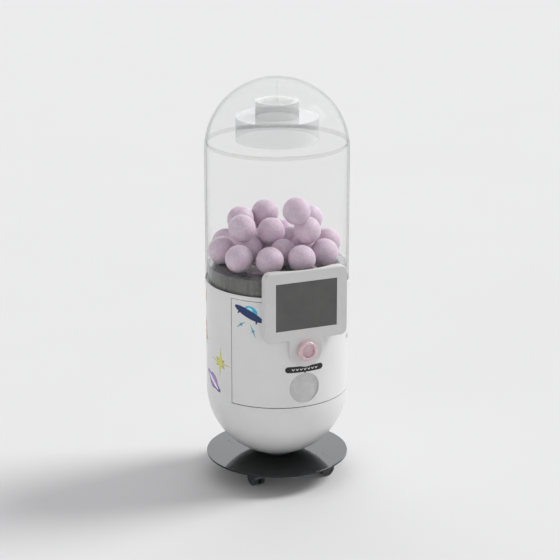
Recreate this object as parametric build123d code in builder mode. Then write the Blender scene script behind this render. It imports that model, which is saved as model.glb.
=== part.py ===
"""Capsule toy vendor.

A pill-shaped machine stands on a round disc with four twin-wheel casters. Its lower half is a white
shell with a curved front door. Its upper half is a clear tube and dome that hold the capsules.
A powered wheel under the capsules carries one at a time over an exit hole, and the capsule falls
down a chute into a bin behind the round prize flap.

Millimetres. The origin is on the floor, on the machine's axis. The front faces -Y, +Z is up.
Angles called "bearing" are measured from the front, towards +X.
"""
import os
from math import acos, asin, cos, degrees, hypot, pi, radians, sin, sqrt, tan

from build123d import *

os.makedirs("parts", exist_ok=True)

# ---------------------------------------------------------------- driving dimensions
# Overall
BODY_R = 265.0  # outer radius of the body, the tube and the dome
BODY_WALL = 4.0
DOOR_HEIGHT = 409.0  # height of the door opening, from the hemisphere's equator to the collar
TUBE_STRAIGHT = 492.0  # straight height of the clear tube above the collar's shelf
SEAM_RISE = 34.0  # height of the tube and dome seam above the dome's centre
TUBE_WALL = 5.0

# Base and casters
DISC_OVERHANG = 2.5
DISC_THICKNESS = 7.0
DISC_EDGE = 1.5
BOSS_R = 62.0
BOSS_HEIGHT = 8.0
CLAMP_THICKNESS = 5.0
CLAMP_MARGIN = 4.0
BALLAST_R = 78.0
BALLAST_HEIGHT = 40.0
BASE_BOLT_CIRCLE_R = 40.0
BASE_BOLT_R = 5.0
BASE_BOLT_HEAD = 6.4
BASE_NUT_R = 8.5
BASE_NUT_HEIGHT = 8.0
BOLT_CLEAR = 0.2
CASTER_HEIGHT = 75.0
CASTER_CIRCLE_R = 181.0
CASTER_WHEEL_R = 30.0
CASTER_WHEEL_WIDTH = 14.0
CASTER_TRAIL = 18.0
CASTER_WEB = 14.0
CASTER_PLATE = 38.0
CASTER_PLATE_THICKNESS = 3.0
CASTER_PIN_R = 4.0
CASTER_AXLE_R = 3.0
CASTER_SCREW_R = 2.5
CASTER_SCREW_HEAD = 2.5
CASTERS = {  # name: bearing of the caster's pin, heading of its trail from +X
    "front_left": (-45.0, 98.0),
    "front_right": (45.0, 18.0),
    "rear_left": (-135.0, 130.0),
    "rear_right": (135.0, 62.0),
}

# Door and its pivots
DOOR_HALF_ANGLE = 60.9
DOOR_GAP = 3.0
RAIL_HEIGHT = 8.0
RAIL_DEPTH = 18.0
HINGE_INSET = 3.7  # pivot axis behind the door's inner face
HINGE_EDGE = 12.0  # pivot axis to the door's left edge, round the body
HINGE_PIN_R = 3.0
HINGE_SEAT = 2.0  # closed end of the lower rail's pivot hole, which carries the door
HINGE_END_PLAY = 0.2
LOCK_BEARING = 55.0
LOCK_Z_ABOVE_EQUATOR = 213.0
LOCK_BARREL_R = 9.0
LOCK_PLUG_R = 5.0
LOCK_CAM_LENGTH = 44.0
LOCK_CAM_WIDTH = 14.0
LOCK_CAM_THICKNESS = 2.5
LOCK_DEPTH = 25.0
LOCK_FLANGE = 1.0

# Capsules, wheel and hopper
CAPSULE_D = 102.0
CAPSULE_WALL = 1.6
CAPSULE_GAP = 0.3
POCKET_WALL = 3.0
POCKET_CLEAR = 3.0
POCKET_SPACING = 4.0
POCKET_TO_RIM = 48.0
WHEEL_TOP_THICKNESS = 4.0
WHEEL_HUB_R = 30.0
SHAFT_R = 12.5
HOPPER_HEIGHT = 65.0
HOPPER_WALL = 5.0
HOPPER_FLOOR_THICKNESS = 5.0
HOPPER_TUBE_GAP = 4.0
FEED_CLOSED_HALF_ANGLE = 34.0  # the floor has no slot over the exit, so one capsule leaves at a time
WHEEL_FLOOR_THICKNESS = 4.0
POST_R = 5.0

# Collar between body and tube
COLLAR_SHELF = 8.0
COLLAR_HEIGHT = 16.0
COLLAR_LIP = 2.7
COLLAR_SHELF_WIDTH = 39.0

# Drive
GEAR_MODULE = 2.5
GEAR_TEETH = 40
PINION_TEETH = 18
GEAR_WIDTH = 10.0
PRESSURE_ANGLE = 20.0
GEAR_BACKLASH = 0.25
CENTRE_SLACK = 0.1
BEARING_R = 21.0
BEARING_WIDTH = 12.0
HOUSING_R = 26.0
HOUSING_HEIGHT = 40.0
MOTOR_SHAFT_R = 4.0
GEARBOX_SIDE = 50.0
GEARBOX_HEIGHT = 40.0
MOTOR_R = 18.0
MOTOR_HEIGHT = 42.0

# Screen panel on the door
PANEL_WIDTH = 322.0
PANEL_HEIGHT = 262.0
PANEL_CORNER_R = 26.0
PANEL_DEPTH = 32.0
PANEL_PROUD = 13.0  # the panel's face in front of the body's foremost line
PANEL_WALL = 3.0
PANEL_EDGE_R = 4.0
TAB_R = 65.0
SCREEN_WIDTH = 239.0
SCREEN_HEIGHT = 179.0
GLASS_RECESS = 1.0
GLASS_THICKNESS = 2.0
LCD_THICKNESS = 3.4

# Push button
BUTTON_BELOW_PANEL = 40.0
BEZEL_R = 36.5
BEZEL_PROUD = 22.0
RECESS_R = 23.5
PLUNGER_GAP = 0.4
BEZEL_FLOOR = 1.5
PLUNGER_SET_BACK = 10.0
PLUNGER_DISH = 3.0
BUTTON_TRAVEL = 4.0
BARREL_R = 12.0
BARREL_LENGTH = 43.0
STEM_R = 6.0

# Prize hatch, flap, label and bin
HATCH_ABOVE_EQUATOR = 75.0
HATCH_CLEAR = 7.0
FLAP_LAP = 3.0
FLAP_THICKNESS = 3.0
FLAP_PIN_R = 2.0
FLAP_PIVOT_ABOVE = 69.0
LABEL_ABOVE_HATCH = 74.0
LABEL_WIDTH = 148.0
LABEL_HEIGHT = 23.0
LABEL_THICKNESS = 0.8
POINTER_SIDE = 7.0
BUTTON_ABOVE_HATCH = 151.0
CHUTE_WALL = 2.5
BIN_WALL = 2.5
BIN_SIDE_CLEAR = 5.0
BIN_FALL = 39.0  # the bin's floor drops this much towards the hatch

# Inner shelf and electrics
SHELF_THICKNESS = 4.0
SHELF_BELOW_DOOR = 3.0
SHELF_RIM_WIDTH = 20.0
SHELF_RIM_HEIGHT = 6.0
SHELF_CABLE_HOLE_R = 20.0
GLAND_BORE_R = 4.0
GLAND_R = 9.0
GLAND_ABOVE_EQUATOR = 40.0

# Lamp in the dome
LAMP_LOWER_R = 152.0
LAMP_LOWER_HEIGHT = 87.0
LAMP_UPPER_R = 80.0
LAMP_UPPER_HEIGHT = 59.0
LAMP_WALL = 3.0
LAMP_ABOVE_SEAM = 2.0
LAMP_ROD_R = 2.0
LED_BOARD_R = 60.0

# Fits and gaps
RUN = 0.05  # radial running clearance of a shaft or pin in its bore
SEAT = 0.02  # radial clearance of parts that are fixed together
SKIN = 0.3  # gap between curved faces that lie side by side

# ---------------------------------------------------------------- heights worked out from them
DISC_LOW = CASTER_HEIGHT
DISC_TOP = DISC_LOW + DISC_THICKNESS
EQUATOR_Z = DISC_TOP + BODY_R
SHELL_LOW = DISC_TOP + BOSS_HEIGHT
INNER_R = BODY_R - BODY_WALL
COLLAR_LOW = EQUATOR_Z + DOOR_HEIGHT
COLLAR_TOP = COLLAR_LOW + COLLAR_HEIGHT
SHELF_TOP = COLLAR_LOW + COLLAR_SHELF
DOME_Z = SHELF_TOP + TUBE_STRAIGHT
SEAM_Z = DOME_Z + SEAM_RISE
DOOR_LOW = EQUATOR_Z + DOOR_GAP
DOOR_TOP = COLLAR_LOW - DOOR_GAP
COLLAR_R = BODY_R + SKIN + COLLAR_LIP

CAPSULE_R = CAPSULE_D / 2
HOPPER_OUTER_R = BODY_R - TUBE_WALL - HOPPER_TUBE_GAP
HOPPER_INNER_R = HOPPER_OUTER_R - HOPPER_WALL
HOPPER_FLOOR_TOP = SHELF_TOP + HOPPER_HEIGHT
COLLAR_INNER_R = BODY_R - COLLAR_SHELF_WIDTH
WHEEL_R = COLLAR_INNER_R - 4.0
POCKET_R = CAPSULE_R + POCKET_CLEAR
POCKET_CIRCLE_R = WHEEL_R - POCKET_R - POCKET_TO_RIM
POCKETS = int(pi / asin((POCKET_R + POCKET_SPACING) / POCKET_CIRCLE_R))
WHEEL_TOP = HOPPER_FLOOR_TOP - HOPPER_FLOOR_THICKNESS - 3.5
WHEEL_LOW = WHEEL_TOP - CAPSULE_D - 2.0
WHEEL_FLOOR_TOP = WHEEL_LOW - 1.5
WHEEL_FLOOR_LOW = WHEEL_FLOOR_TOP - WHEEL_FLOOR_THICKNESS
WHEEL_FLOOR_R = BODY_R - 23.0
POST_CIRCLE_R = COLLAR_INNER_R + 2.0 + POST_R

PANEL_FACE = BODY_R + PANEL_PROUD  # distance of the panel's face in front of the axis
PANEL_BACK = PANEL_FACE - PANEL_DEPTH
HATCH_Z = EQUATOR_Z + HATCH_ABOVE_EQUATOR
HATCH_R = CAPSULE_R + HATCH_CLEAR
BUTTON_Z = HATCH_Z + BUTTON_ABOVE_HATCH
PANEL_LOW = BUTTON_Z + BUTTON_BELOW_PANEL
PANEL_Z = PANEL_LOW + PANEL_HEIGHT / 2

SHELF_Z = EQUATOR_Z - SHELF_BELOW_DOOR
SHELF_LOW = SHELF_Z - SHELF_THICKNESS
SHELF_R = sqrt(INNER_R**2 - (EQUATOR_Z - SHELF_LOW) ** 2) - SKIN

HINGE_R = INNER_R - HINGE_INSET
HINGE_BEARING = -(DOOR_HALF_ANGLE - degrees(HINGE_EDGE / BODY_R))


def spot(bearing, distance):
    """Plan position at a bearing from the front."""
    return (distance * sin(radians(bearing)), -distance * cos(radians(bearing)))


def section(bearing):
    """The plane through the axis at a bearing. Local x is the radius, local y the height."""
    x, y = spot(bearing, 1)
    return Plane(origin=(0, 0, 0), x_dir=(x, y, 0), z_dir=(y, -x, 0))


def outward(bearing, distance, height):
    """The plane that faces out of the body's wall. Local x runs round the body, local y up."""
    x, y = spot(bearing, 1)
    return Plane(origin=(distance * x, distance * y, height), x_dir=(-y, x, 0), z_dir=(x, y, 0))


def front(distance):
    """The upright plane this far in front of the axis. Local x is +X, local y the height."""
    return Plane.XZ.offset(distance)


def block(low_x, high_x, low_y, high_y, mode=Mode.ADD):
    """A rectangle given by its limits."""
    with Locations(((low_x + high_x) / 2, (low_y + high_y) / 2)):
        Rectangle(high_x - low_x, high_y - low_y, mode=mode)


def is_circle(edge, radius):
    """True for a round edge of this radius."""
    return edge.geom_type == GeomType.CIRCLE and abs(edge.radius - radius) < 0.01


def sphere_radius(radius, above_centre):
    """Radius of a sphere's section this far from its centre."""
    return sqrt(radius**2 - above_centre**2)


# ---------------------------------------------------------------- base
BASE_BOLTS = [spot(45 + 90 * i, BASE_BOLT_CIRCLE_R) for i in range(4)]
CASTER_SPOTS = [spot(bearing, CASTER_CIRCLE_R) for bearing, heading in CASTERS.values()]
SCREW_OFFSET = CASTER_PLATE / 2 - 5.0
CASTER_SCREWS = [
    (x + dx, y + dy)
    for x, y in CASTER_SPOTS
    for dx in (-SCREW_OFFSET, SCREW_OFFSET)
    for dy in (-SCREW_OFFSET, SCREW_OFFSET)
]

with BuildPart() as base_disc:
    with BuildSketch(Plane.XZ):
        block(0, BODY_R + DISC_OVERHANG, DISC_LOW, DISC_TOP)
    revolve(axis=Axis.Z)
    fillet(base_disc.edges().filter_by(GeomType.CIRCLE), DISC_EDGE)
    with BuildSketch(Plane.XY.offset(DISC_LOW)):
        with Locations(*BASE_BOLTS):
            Circle(BASE_BOLT_R + BOLT_CLEAR)
        with Locations(*CASTER_SCREWS):
            Circle(CASTER_SCREW_R + SEAT)
    extrude(amount=DISC_THICKNESS, mode=Mode.SUBTRACT)

with BuildPart() as mount_boss:
    with BuildSketch(Plane.XY.offset(DISC_TOP)):
        Circle(BOSS_R)
        with Locations(*BASE_BOLTS):
            Circle(BASE_BOLT_R + BOLT_CLEAR, mode=Mode.SUBTRACT)
    extrude(amount=BOSS_HEIGHT)

CLAMP_LOW = SHELL_LOW + BODY_WALL
CLAMP_TOP = CLAMP_LOW + CLAMP_THICKNESS
with BuildPart() as ballast_weight:
    with BuildSketch(Plane.XY.offset(CLAMP_LOW)):
        Circle(sphere_radius(INNER_R, EQUATOR_Z - CLAMP_LOW) - CLAMP_MARGIN)
    extrude(amount=CLAMP_THICKNESS)
    with BuildSketch(Plane.XY.offset(CLAMP_TOP)):
        Circle(min(BALLAST_R, sphere_radius(INNER_R, EQUATOR_Z - CLAMP_TOP) - SKIN))
        with Locations(*BASE_BOLTS):
            Circle(BASE_NUT_R + 3, mode=Mode.SUBTRACT)
    extrude(amount=BALLAST_HEIGHT)
    with BuildSketch(Plane.XY.offset(CLAMP_LOW)):
        with Locations(*BASE_BOLTS):
            Circle(BASE_BOLT_R + BOLT_CLEAR)
    extrude(amount=CLAMP_THICKNESS, mode=Mode.SUBTRACT)

# ---------------------------------------------------------------- casters
AXLE_Z = CASTER_WHEEL_R
FENDER_INNER_R = CASTER_WHEEL_R + 1.5
FENDER_OUTER_R = FENDER_INNER_R + 2.5
WHEEL_INNER_X = CASTER_WEB / 2 + 1.0
CASTER_HALF_WIDTH = WHEEL_INNER_X + CASTER_WHEEL_WIDTH + 1.0
HUB_TOP = CASTER_HEIGHT - CASTER_PLATE_THICKNESS - 1.0
PIN_LOW = HUB_TOP - 23.0
SIDE = Plane.YZ  # local x is the trail direction, local y the height

with BuildPart() as caster_plates:
    with BuildSketch(Plane.XY.offset(CASTER_HEIGHT - CASTER_PLATE_THICKNESS)):
        with Locations(*CASTER_SPOTS):
            RectangleRounded(CASTER_PLATE, CASTER_PLATE, 4)
        with Locations(*CASTER_SCREWS):
            Circle(CASTER_SCREW_R + SEAT, mode=Mode.SUBTRACT)
    extrude(amount=CASTER_PLATE_THICKNESS)
    with BuildSketch(Plane.XY.offset(PIN_LOW)):
        with Locations(*CASTER_SPOTS):
            Circle(CASTER_PIN_R)
    extrude(amount=CASTER_HEIGHT - CASTER_PLATE_THICKNESS - PIN_LOW)

# One caster at the origin, trailing towards +Y. Copies are turned and set under the disc.
with BuildPart() as hood_pattern:
    with BuildSketch(SIDE.offset(-CASTER_WEB / 2)):
        with Locations((CASTER_TRAIL, AXLE_Z)):
            Circle(CASTER_WHEEL_R * 0.7)
        block(-10, CASTER_TRAIL, AXLE_Z, HUB_TOP - 6)
    extrude(amount=CASTER_WEB)
    with BuildSketch(SIDE.offset(-CASTER_HALF_WIDTH)):
        with Locations((CASTER_TRAIL, AXLE_Z)):
            Circle(FENDER_OUTER_R)
            Circle(FENDER_INNER_R, mode=Mode.SUBTRACT)
        block(-60, 80, -10, AXLE_Z + 4, mode=Mode.SUBTRACT)
    extrude(amount=2 * CASTER_HALF_WIDTH)
    with BuildSketch(Plane.XY.offset(HUB_TOP - 7)):
        Circle(CASTER_PIN_R + 7)
    extrude(amount=7)
    with BuildSketch(Plane.XY.offset(PIN_LOW - 1)):
        Circle(CASTER_PIN_R + RUN)
    extrude(amount=HUB_TOP - PIN_LOW + 2, mode=Mode.SUBTRACT)
    with BuildSketch(SIDE.offset(-CASTER_WEB)):
        with Locations((CASTER_TRAIL, AXLE_Z)):
            Circle(CASTER_AXLE_R + SEAT)
    extrude(amount=2 * CASTER_WEB, mode=Mode.SUBTRACT)

with BuildPart() as axle_pattern:
    with BuildSketch(SIDE.offset(-CASTER_HALF_WIDTH)):
        with Locations((CASTER_TRAIL, AXLE_Z)):
            Circle(CASTER_AXLE_R)
    extrude(amount=2 * CASTER_HALF_WIDTH)

with BuildPart() as wheel_pattern:
    for low_x in (WHEEL_INNER_X, -WHEEL_INNER_X - CASTER_WHEEL_WIDTH):
        with BuildSketch(SIDE.offset(low_x)):
            with Locations((CASTER_TRAIL, AXLE_Z)):
                Circle(CASTER_WHEEL_R)
        extrude(amount=CASTER_WHEEL_WIDTH)
    fillet(wheel_pattern.edges().filter_by(GeomType.CIRCLE), 2.0)
    for outer_x in (WHEEL_INNER_X + CASTER_WHEEL_WIDTH - 2, -WHEEL_INNER_X - CASTER_WHEEL_WIDTH):
        with BuildSketch(SIDE.offset(outer_x)):
            with Locations((CASTER_TRAIL, AXLE_Z)):
                Circle(CASTER_WHEEL_R * 0.68)
                Circle(CASTER_AXLE_R + 5, mode=Mode.SUBTRACT)
        extrude(amount=2, mode=Mode.SUBTRACT)
    with BuildSketch(SIDE.offset(-CASTER_HALF_WIDTH)):
        with Locations((CASTER_TRAIL, AXLE_Z)):
            Circle(CASTER_AXLE_R + RUN)
    extrude(amount=2 * CASTER_HALF_WIDTH, mode=Mode.SUBTRACT)

caster_parts = {}
for caster, (bearing, heading) in CASTERS.items():
    x, y = spot(bearing, CASTER_CIRCLE_R)
    for kind, patterns in (("hood", (hood_pattern, axle_pattern)), ("wheels", (wheel_pattern,))):
        with BuildPart() as placed:
            with Locations(Location((x, y, 0), (0, 0, heading - 90))):
                for pattern in patterns:
                    add(pattern.part)
        caster_parts[f"caster_{kind}_{caster}"] = placed

# ---------------------------------------------------------------- body shell, shelf and gland
GLAND_Z = EQUATOR_Z + GLAND_ABOVE_EQUATOR
BEVEL = cos(radians(45))
GAP_ANGLE = degrees(DOOR_GAP / BODY_R)
OPENING_HALF_ANGLE = DOOR_HALF_ANGLE + GAP_ANGLE
with BuildPart() as body_shell:
    with BuildSketch(Plane.XZ):
        with BuildLine():
            flat_r = sphere_radius(BODY_R, EQUATOR_Z - SHELL_LOW)
            inner_flat_r = sphere_radius(INNER_R, EQUATOR_Z - CLAMP_LOW)
            Line((0, SHELL_LOW), (flat_r, SHELL_LOW))
            outer_mid = (BODY_R * BEVEL, EQUATOR_Z - BODY_R * BEVEL)
            ThreePointArc((flat_r, SHELL_LOW), outer_mid, (BODY_R, EQUATOR_Z))
            Line((BODY_R, EQUATOR_Z), (BODY_R, COLLAR_LOW))
            Line((BODY_R, COLLAR_LOW), (INNER_R, COLLAR_LOW))
            Line((INNER_R, COLLAR_LOW), (INNER_R, EQUATOR_Z))
            inner_mid = (INNER_R * BEVEL, EQUATOR_Z - INNER_R * BEVEL)
            ThreePointArc((INNER_R, EQUATOR_Z), inner_mid, (inner_flat_r, CLAMP_LOW))
            Line((inner_flat_r, CLAMP_LOW), (0, CLAMP_LOW))
            Line((0, CLAMP_LOW), (0, SHELL_LOW))
        make_face()
    revolve(axis=Axis.Z)
    with BuildSketch(section(-OPENING_HALF_ANGLE)):
        block(INNER_R - 10, BODY_R + 10, EQUATOR_Z, COLLAR_LOW + 5)
    revolve(axis=Axis.Z, revolution_arc=2 * OPENING_HALF_ANGLE, mode=Mode.SUBTRACT)
    with BuildSketch(Plane.XY.offset(SHELL_LOW)):
        with Locations(*BASE_BOLTS):
            Circle(BASE_BOLT_R + BOLT_CLEAR)
    extrude(amount=BODY_WALL, mode=Mode.SUBTRACT)
    with BuildSketch(front(-BODY_R - 5)):
        with Locations((0, GLAND_Z)):
            Circle(GLAND_R + SEAT)
    extrude(amount=BODY_WALL + 10, mode=Mode.SUBTRACT)
    COLLAR_SCREW_BEARINGS = [120, 150, 180, 210, 240]
    COLLAR_SCREW_Z = COLLAR_LOW - 6
    COLLAR_SCREW_R = 2.0
    for bearing in COLLAR_SCREW_BEARINGS:
        with BuildSketch(outward(bearing, INNER_R - 2, COLLAR_SCREW_Z)):
            Circle(COLLAR_SCREW_R + SEAT)
        extrude(amount=BODY_WALL + 4, mode=Mode.SUBTRACT)

with BuildPart() as equipment_shelf:
    with BuildSketch(Plane.XY.offset(SHELF_LOW)):
        Circle(SHELF_R)
        with Locations(spot(150, SHELF_R * 0.75)):
            Circle(SHELF_CABLE_HOLE_R, mode=Mode.SUBTRACT)
    extrude(amount=SHELF_THICKNESS)
    with BuildSketch(Plane.XZ):
        rim_r = sphere_radius(INNER_R, EQUATOR_Z - SHELF_LOW + SHELF_RIM_HEIGHT) - SKIN
        block(rim_r - SHELF_RIM_WIDTH, rim_r, SHELF_LOW - SHELF_RIM_HEIGHT, SHELF_LOW)
    revolve(axis=Axis.Z)

GLAND_INNER = INNER_R - 12
GLAND_OUTER = BODY_R + 20
GLAND_LENGTH = GLAND_OUTER - GLAND_INNER
with BuildPart() as cable_gland:
    with BuildSketch(front(-GLAND_OUTER)):
        with Locations((0, GLAND_Z)):
            Circle(GLAND_R)
    extrude(amount=GLAND_LENGTH)
    with BuildSketch(front(-BODY_R - 7)):
        with Locations((0, GLAND_Z)):
            RegularPolygon(GLAND_R + 4, 6)
    extrude(amount=6.5)
    with BuildSketch(front(-GLAND_OUTER + 1)):
        with Locations((0, GLAND_Z)):
            Circle(GLAND_R + 2)
    extrude(amount=11)
    with BuildSketch(front(-GLAND_OUTER - 1)):
        with Locations((0, GLAND_Z)):
            Circle(GLAND_BORE_R)
    extrude(amount=GLAND_LENGTH + 2, mode=Mode.SUBTRACT)

# ---------------------------------------------------------------- collar, tube and dome
SPIGOT_HALF_ANGLE = 114.0  # round the back only, clear of the door's rails
with BuildPart() as top_collar:
    with BuildSketch(Plane.XZ):
        block(COLLAR_INNER_R, COLLAR_R, COLLAR_LOW, SHELF_TOP)
        block(BODY_R + SKIN, COLLAR_R, SHELF_TOP, COLLAR_TOP)
    revolve(axis=Axis.Z)
    fillet(top_collar.edges().group_by(Axis.Z)[-1], 0.8)
    with BuildSketch(section(180 - SPIGOT_HALF_ANGLE)):
        block(INNER_R - SKIN - 5, INNER_R - SKIN, COLLAR_LOW - 12, COLLAR_LOW)
    revolve(axis=Axis.Z, revolution_arc=2 * SPIGOT_HALF_ANGLE)
    for bearing in COLLAR_SCREW_BEARINGS:
        with BuildSketch(outward(bearing, INNER_R - 12, COLLAR_SCREW_Z)):
            Circle(COLLAR_SCREW_R + SEAT)
        extrude(amount=12, mode=Mode.SUBTRACT)

SEAL_HALF = 1.5
TUBE_INNER_R = BODY_R - TUBE_WALL
TUBE_TOP = SEAM_Z - SEAL_HALF
with BuildPart() as clear_tube:
    with BuildSketch(Plane.XZ):
        with BuildLine():
            top_rise = TUBE_TOP - DOME_Z
            outer_top = (sphere_radius(BODY_R, top_rise), TUBE_TOP)
            inner_top = (sphere_radius(TUBE_INNER_R, top_rise), TUBE_TOP)
            outer_half = (sphere_radius(BODY_R, top_rise / 2), DOME_Z + top_rise / 2)
            inner_half = (sphere_radius(TUBE_INNER_R, top_rise / 2), DOME_Z + top_rise / 2)
            Line((TUBE_INNER_R, SHELF_TOP), (BODY_R, SHELF_TOP))
            Line((BODY_R, SHELF_TOP), (BODY_R, DOME_Z))
            ThreePointArc((BODY_R, DOME_Z), outer_half, outer_top)
            Line(outer_top, inner_top)
            ThreePointArc(inner_top, inner_half, (TUBE_INNER_R, DOME_Z))
            Line((TUBE_INNER_R, DOME_Z), (TUBE_INNER_R, SHELF_TOP))
        make_face()
    revolve(axis=Axis.Z)

DOME_LOW = SEAM_Z + SEAL_HALF
with BuildPart() as dome:
    with BuildSketch(Plane.XZ):
        with BuildLine():
            low_rise = DOME_LOW - DOME_Z
            outer_low = (sphere_radius(BODY_R, low_rise), DOME_LOW)
            inner_low = (sphere_radius(TUBE_INNER_R, low_rise), DOME_LOW)
            Line(inner_low, outer_low)
            ThreePointArc(outer_low, (BODY_R * BEVEL, DOME_Z + BODY_R * BEVEL), (0, DOME_Z + BODY_R))
            Line((0, DOME_Z + BODY_R), (0, DOME_Z + TUBE_INNER_R))
            inner_mid = (TUBE_INNER_R * BEVEL, DOME_Z + TUBE_INNER_R * BEVEL)
            ThreePointArc((0, DOME_Z + TUBE_INNER_R), inner_mid, inner_low)
        make_face()
    revolve(axis=Axis.Z)

# An L-section seal: its flange lies in the seam, its skirt centres the dome in the tube.
SKIRT_OUTER_R = sphere_radius(TUBE_INNER_R, TUBE_TOP - DOME_Z) - SKIN
SKIRT_INNER_R = SKIRT_OUTER_R - 2.0
with BuildPart() as dome_seal:
    with BuildSketch(Plane.XZ):
        block(SKIRT_INNER_R, sphere_radius(BODY_R, SEAM_RISE + SEAL_HALF), TUBE_TOP, DOME_LOW)
        block(SKIRT_INNER_R, SKIRT_OUTER_R, TUBE_TOP - 12, TUBE_TOP)
    revolve(axis=Axis.Z)

# ---------------------------------------------------------------- lamp
LAMP_LOW = SEAM_Z + LAMP_ABOVE_SEAM
LAMP_STEP = LAMP_LOW + LAMP_LOWER_HEIGHT
LAMP_TOP = LAMP_STEP + LAMP_UPPER_HEIGHT
with BuildPart() as lamp_lower_cup:
    with BuildSketch(Plane.XZ):
        block(LAMP_LOWER_R - LAMP_WALL, LAMP_LOWER_R, LAMP_LOW, LAMP_STEP)
        block(LAMP_UPPER_R - LAMP_WALL, LAMP_LOWER_R, LAMP_STEP - LAMP_WALL, LAMP_STEP)
    revolve(axis=Axis.Z)

with BuildPart() as lamp_upper_cup:
    with BuildSketch(Plane.XZ):
        block(LAMP_UPPER_R - LAMP_WALL, LAMP_UPPER_R, LAMP_STEP, LAMP_TOP)
        block(LAMP_ROD_R + SEAT, LAMP_UPPER_R, LAMP_TOP - LAMP_WALL, LAMP_TOP)
    revolve(axis=Axis.Z)

with BuildPart() as led_board:
    with BuildSketch(Plane.XY.offset(LAMP_TOP - LAMP_WALL - 2)):
        Circle(LED_BOARD_R)
        Circle(LAMP_ROD_R + SEAT, mode=Mode.SUBTRACT)
    extrude(amount=2)

with BuildPart() as lamp_rod:
    with BuildSketch(Plane.XY.offset(LAMP_TOP - LAMP_WALL - 2)):
        Circle(LAMP_ROD_R)
    extrude(amount=DOME_Z + TUBE_INNER_R - LAMP_TOP + LAMP_WALL + 1.5)
    with BuildSketch(Plane.XY.offset(LAMP_TOP - LAMP_WALL - 5)):
        Circle(LAMP_ROD_R + 3)
    extrude(amount=3)

# ---------------------------------------------------------------- hopper and wheel
with BuildPart() as hopper_ring:
    with BuildSketch(Plane.XZ):
        block(HOPPER_INNER_R, HOPPER_OUTER_R, SHELF_TOP, HOPPER_FLOOR_TOP)
        ledge_top = HOPPER_FLOOR_TOP - HOPPER_FLOOR_THICKNESS
        block(HOPPER_INNER_R - 8, HOPPER_INNER_R, ledge_top - 5, ledge_top)
    revolve(axis=Axis.Z)

SLOT_INNER_R = POCKET_CIRCLE_R - POCKET_R
SLOT_OUTER_R = POCKET_CIRCLE_R + POCKET_R
with BuildPart() as hopper_floor:
    with BuildSketch(Plane.XY.offset(HOPPER_FLOOR_TOP - HOPPER_FLOOR_THICKNESS)):
        Circle(HOPPER_INNER_R - SKIN)
    extrude(amount=HOPPER_FLOOR_THICKNESS)
    with BuildSketch(section(FEED_CLOSED_HALF_ANGLE)):
        slot_low = HOPPER_FLOOR_TOP - HOPPER_FLOOR_THICKNESS - 1
        block(SLOT_INNER_R, SLOT_OUTER_R, slot_low, HOPPER_FLOOR_TOP + 1)
    revolve(axis=Axis.Z, revolution_arc=360 - 2 * FEED_CLOSED_HALF_ANGLE, mode=Mode.SUBTRACT)

POCKET_SPOTS = [spot(360 / POCKETS * i, POCKET_CIRCLE_R) for i in range(POCKETS)]
with BuildPart() as dispensing_wheel:
    with BuildSketch(Plane.XY.offset(WHEEL_TOP - WHEEL_TOP_THICKNESS)):
        Circle(WHEEL_R)
        with Locations(*POCKET_SPOTS):
            Circle(POCKET_R, mode=Mode.SUBTRACT)
        Circle(SHAFT_R + SEAT, mode=Mode.SUBTRACT)
    extrude(amount=WHEEL_TOP_THICKNESS)
    with BuildSketch(Plane.XY.offset(WHEEL_LOW)):
        Circle(WHEEL_HUB_R)
        with PolarLocations(0, POCKETS, start_angle=-90):
            with Locations((POCKET_CIRCLE_R / 2, 0)):
                Rectangle(POCKET_CIRCLE_R, 5)
        with Locations(*POCKET_SPOTS):
            Circle(POCKET_R + POCKET_WALL)
        with Locations(*POCKET_SPOTS):
            Circle(POCKET_R, mode=Mode.SUBTRACT)
        Circle(SHAFT_R + SEAT, mode=Mode.SUBTRACT)
    extrude(amount=WHEEL_TOP - WHEEL_TOP_THICKNESS - WHEEL_LOW)

EXIT = (0, -POCKET_CIRCLE_R)
POSTS = [spot(bearing, POST_CIRCLE_R) for bearing in (30, 150, 210, 330)]
with BuildPart() as wheel_floor:
    with BuildSketch(Plane.XY.offset(WHEEL_FLOOR_LOW)):
        Circle(WHEEL_FLOOR_R)
        with Locations(EXIT):
            Circle(POCKET_R + 2, mode=Mode.SUBTRACT)
        Circle(SHAFT_R + 2, mode=Mode.SUBTRACT)
    extrude(amount=WHEEL_FLOOR_THICKNESS)

with BuildPart() as floor_posts:
    with BuildSketch(Plane.XY.offset(WHEEL_FLOOR_TOP)):
        with Locations(*POSTS):
            Circle(POST_R)
    extrude(amount=COLLAR_LOW - WHEEL_FLOOR_TOP)

# ---------------------------------------------------------------- drive under the wheel
HOUSING_LOW = WHEEL_FLOOR_LOW - HOUSING_HEIGHT
GEAR_TOP = HOUSING_LOW - 8
GEAR_LOW = GEAR_TOP - GEAR_WIDTH
SHAFT_LOW = GEAR_LOW - 6
with BuildPart() as bearing_housing:
    with BuildSketch(Plane.XZ):
        block(BEARING_R, HOUSING_R, HOUSING_LOW, WHEEL_FLOOR_LOW)
        block(BEARING_R, HOUSING_R + 16, WHEEL_FLOOR_LOW - 4, WHEEL_FLOOR_LOW)
    revolve(axis=Axis.Z)

with BuildPart() as shaft_bearings:
    with BuildSketch(Plane.XZ):
        bore_r = SHAFT_R + RUN
        block(bore_r, BEARING_R - SEAT, WHEEL_FLOOR_LOW - BEARING_WIDTH, WHEEL_FLOOR_LOW)
        block(bore_r, BEARING_R - SEAT, HOUSING_LOW, HOUSING_LOW + BEARING_WIDTH)
    revolve(axis=Axis.Z)

with BuildPart() as wheel_shaft:
    with BuildSketch(Plane.XY.offset(SHAFT_LOW)):
        Circle(SHAFT_R)
    extrude(amount=WHEEL_TOP - SHAFT_LOW)
    chamfer(wheel_shaft.edges().filter_by(GeomType.CIRCLE), 1.0)

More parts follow.
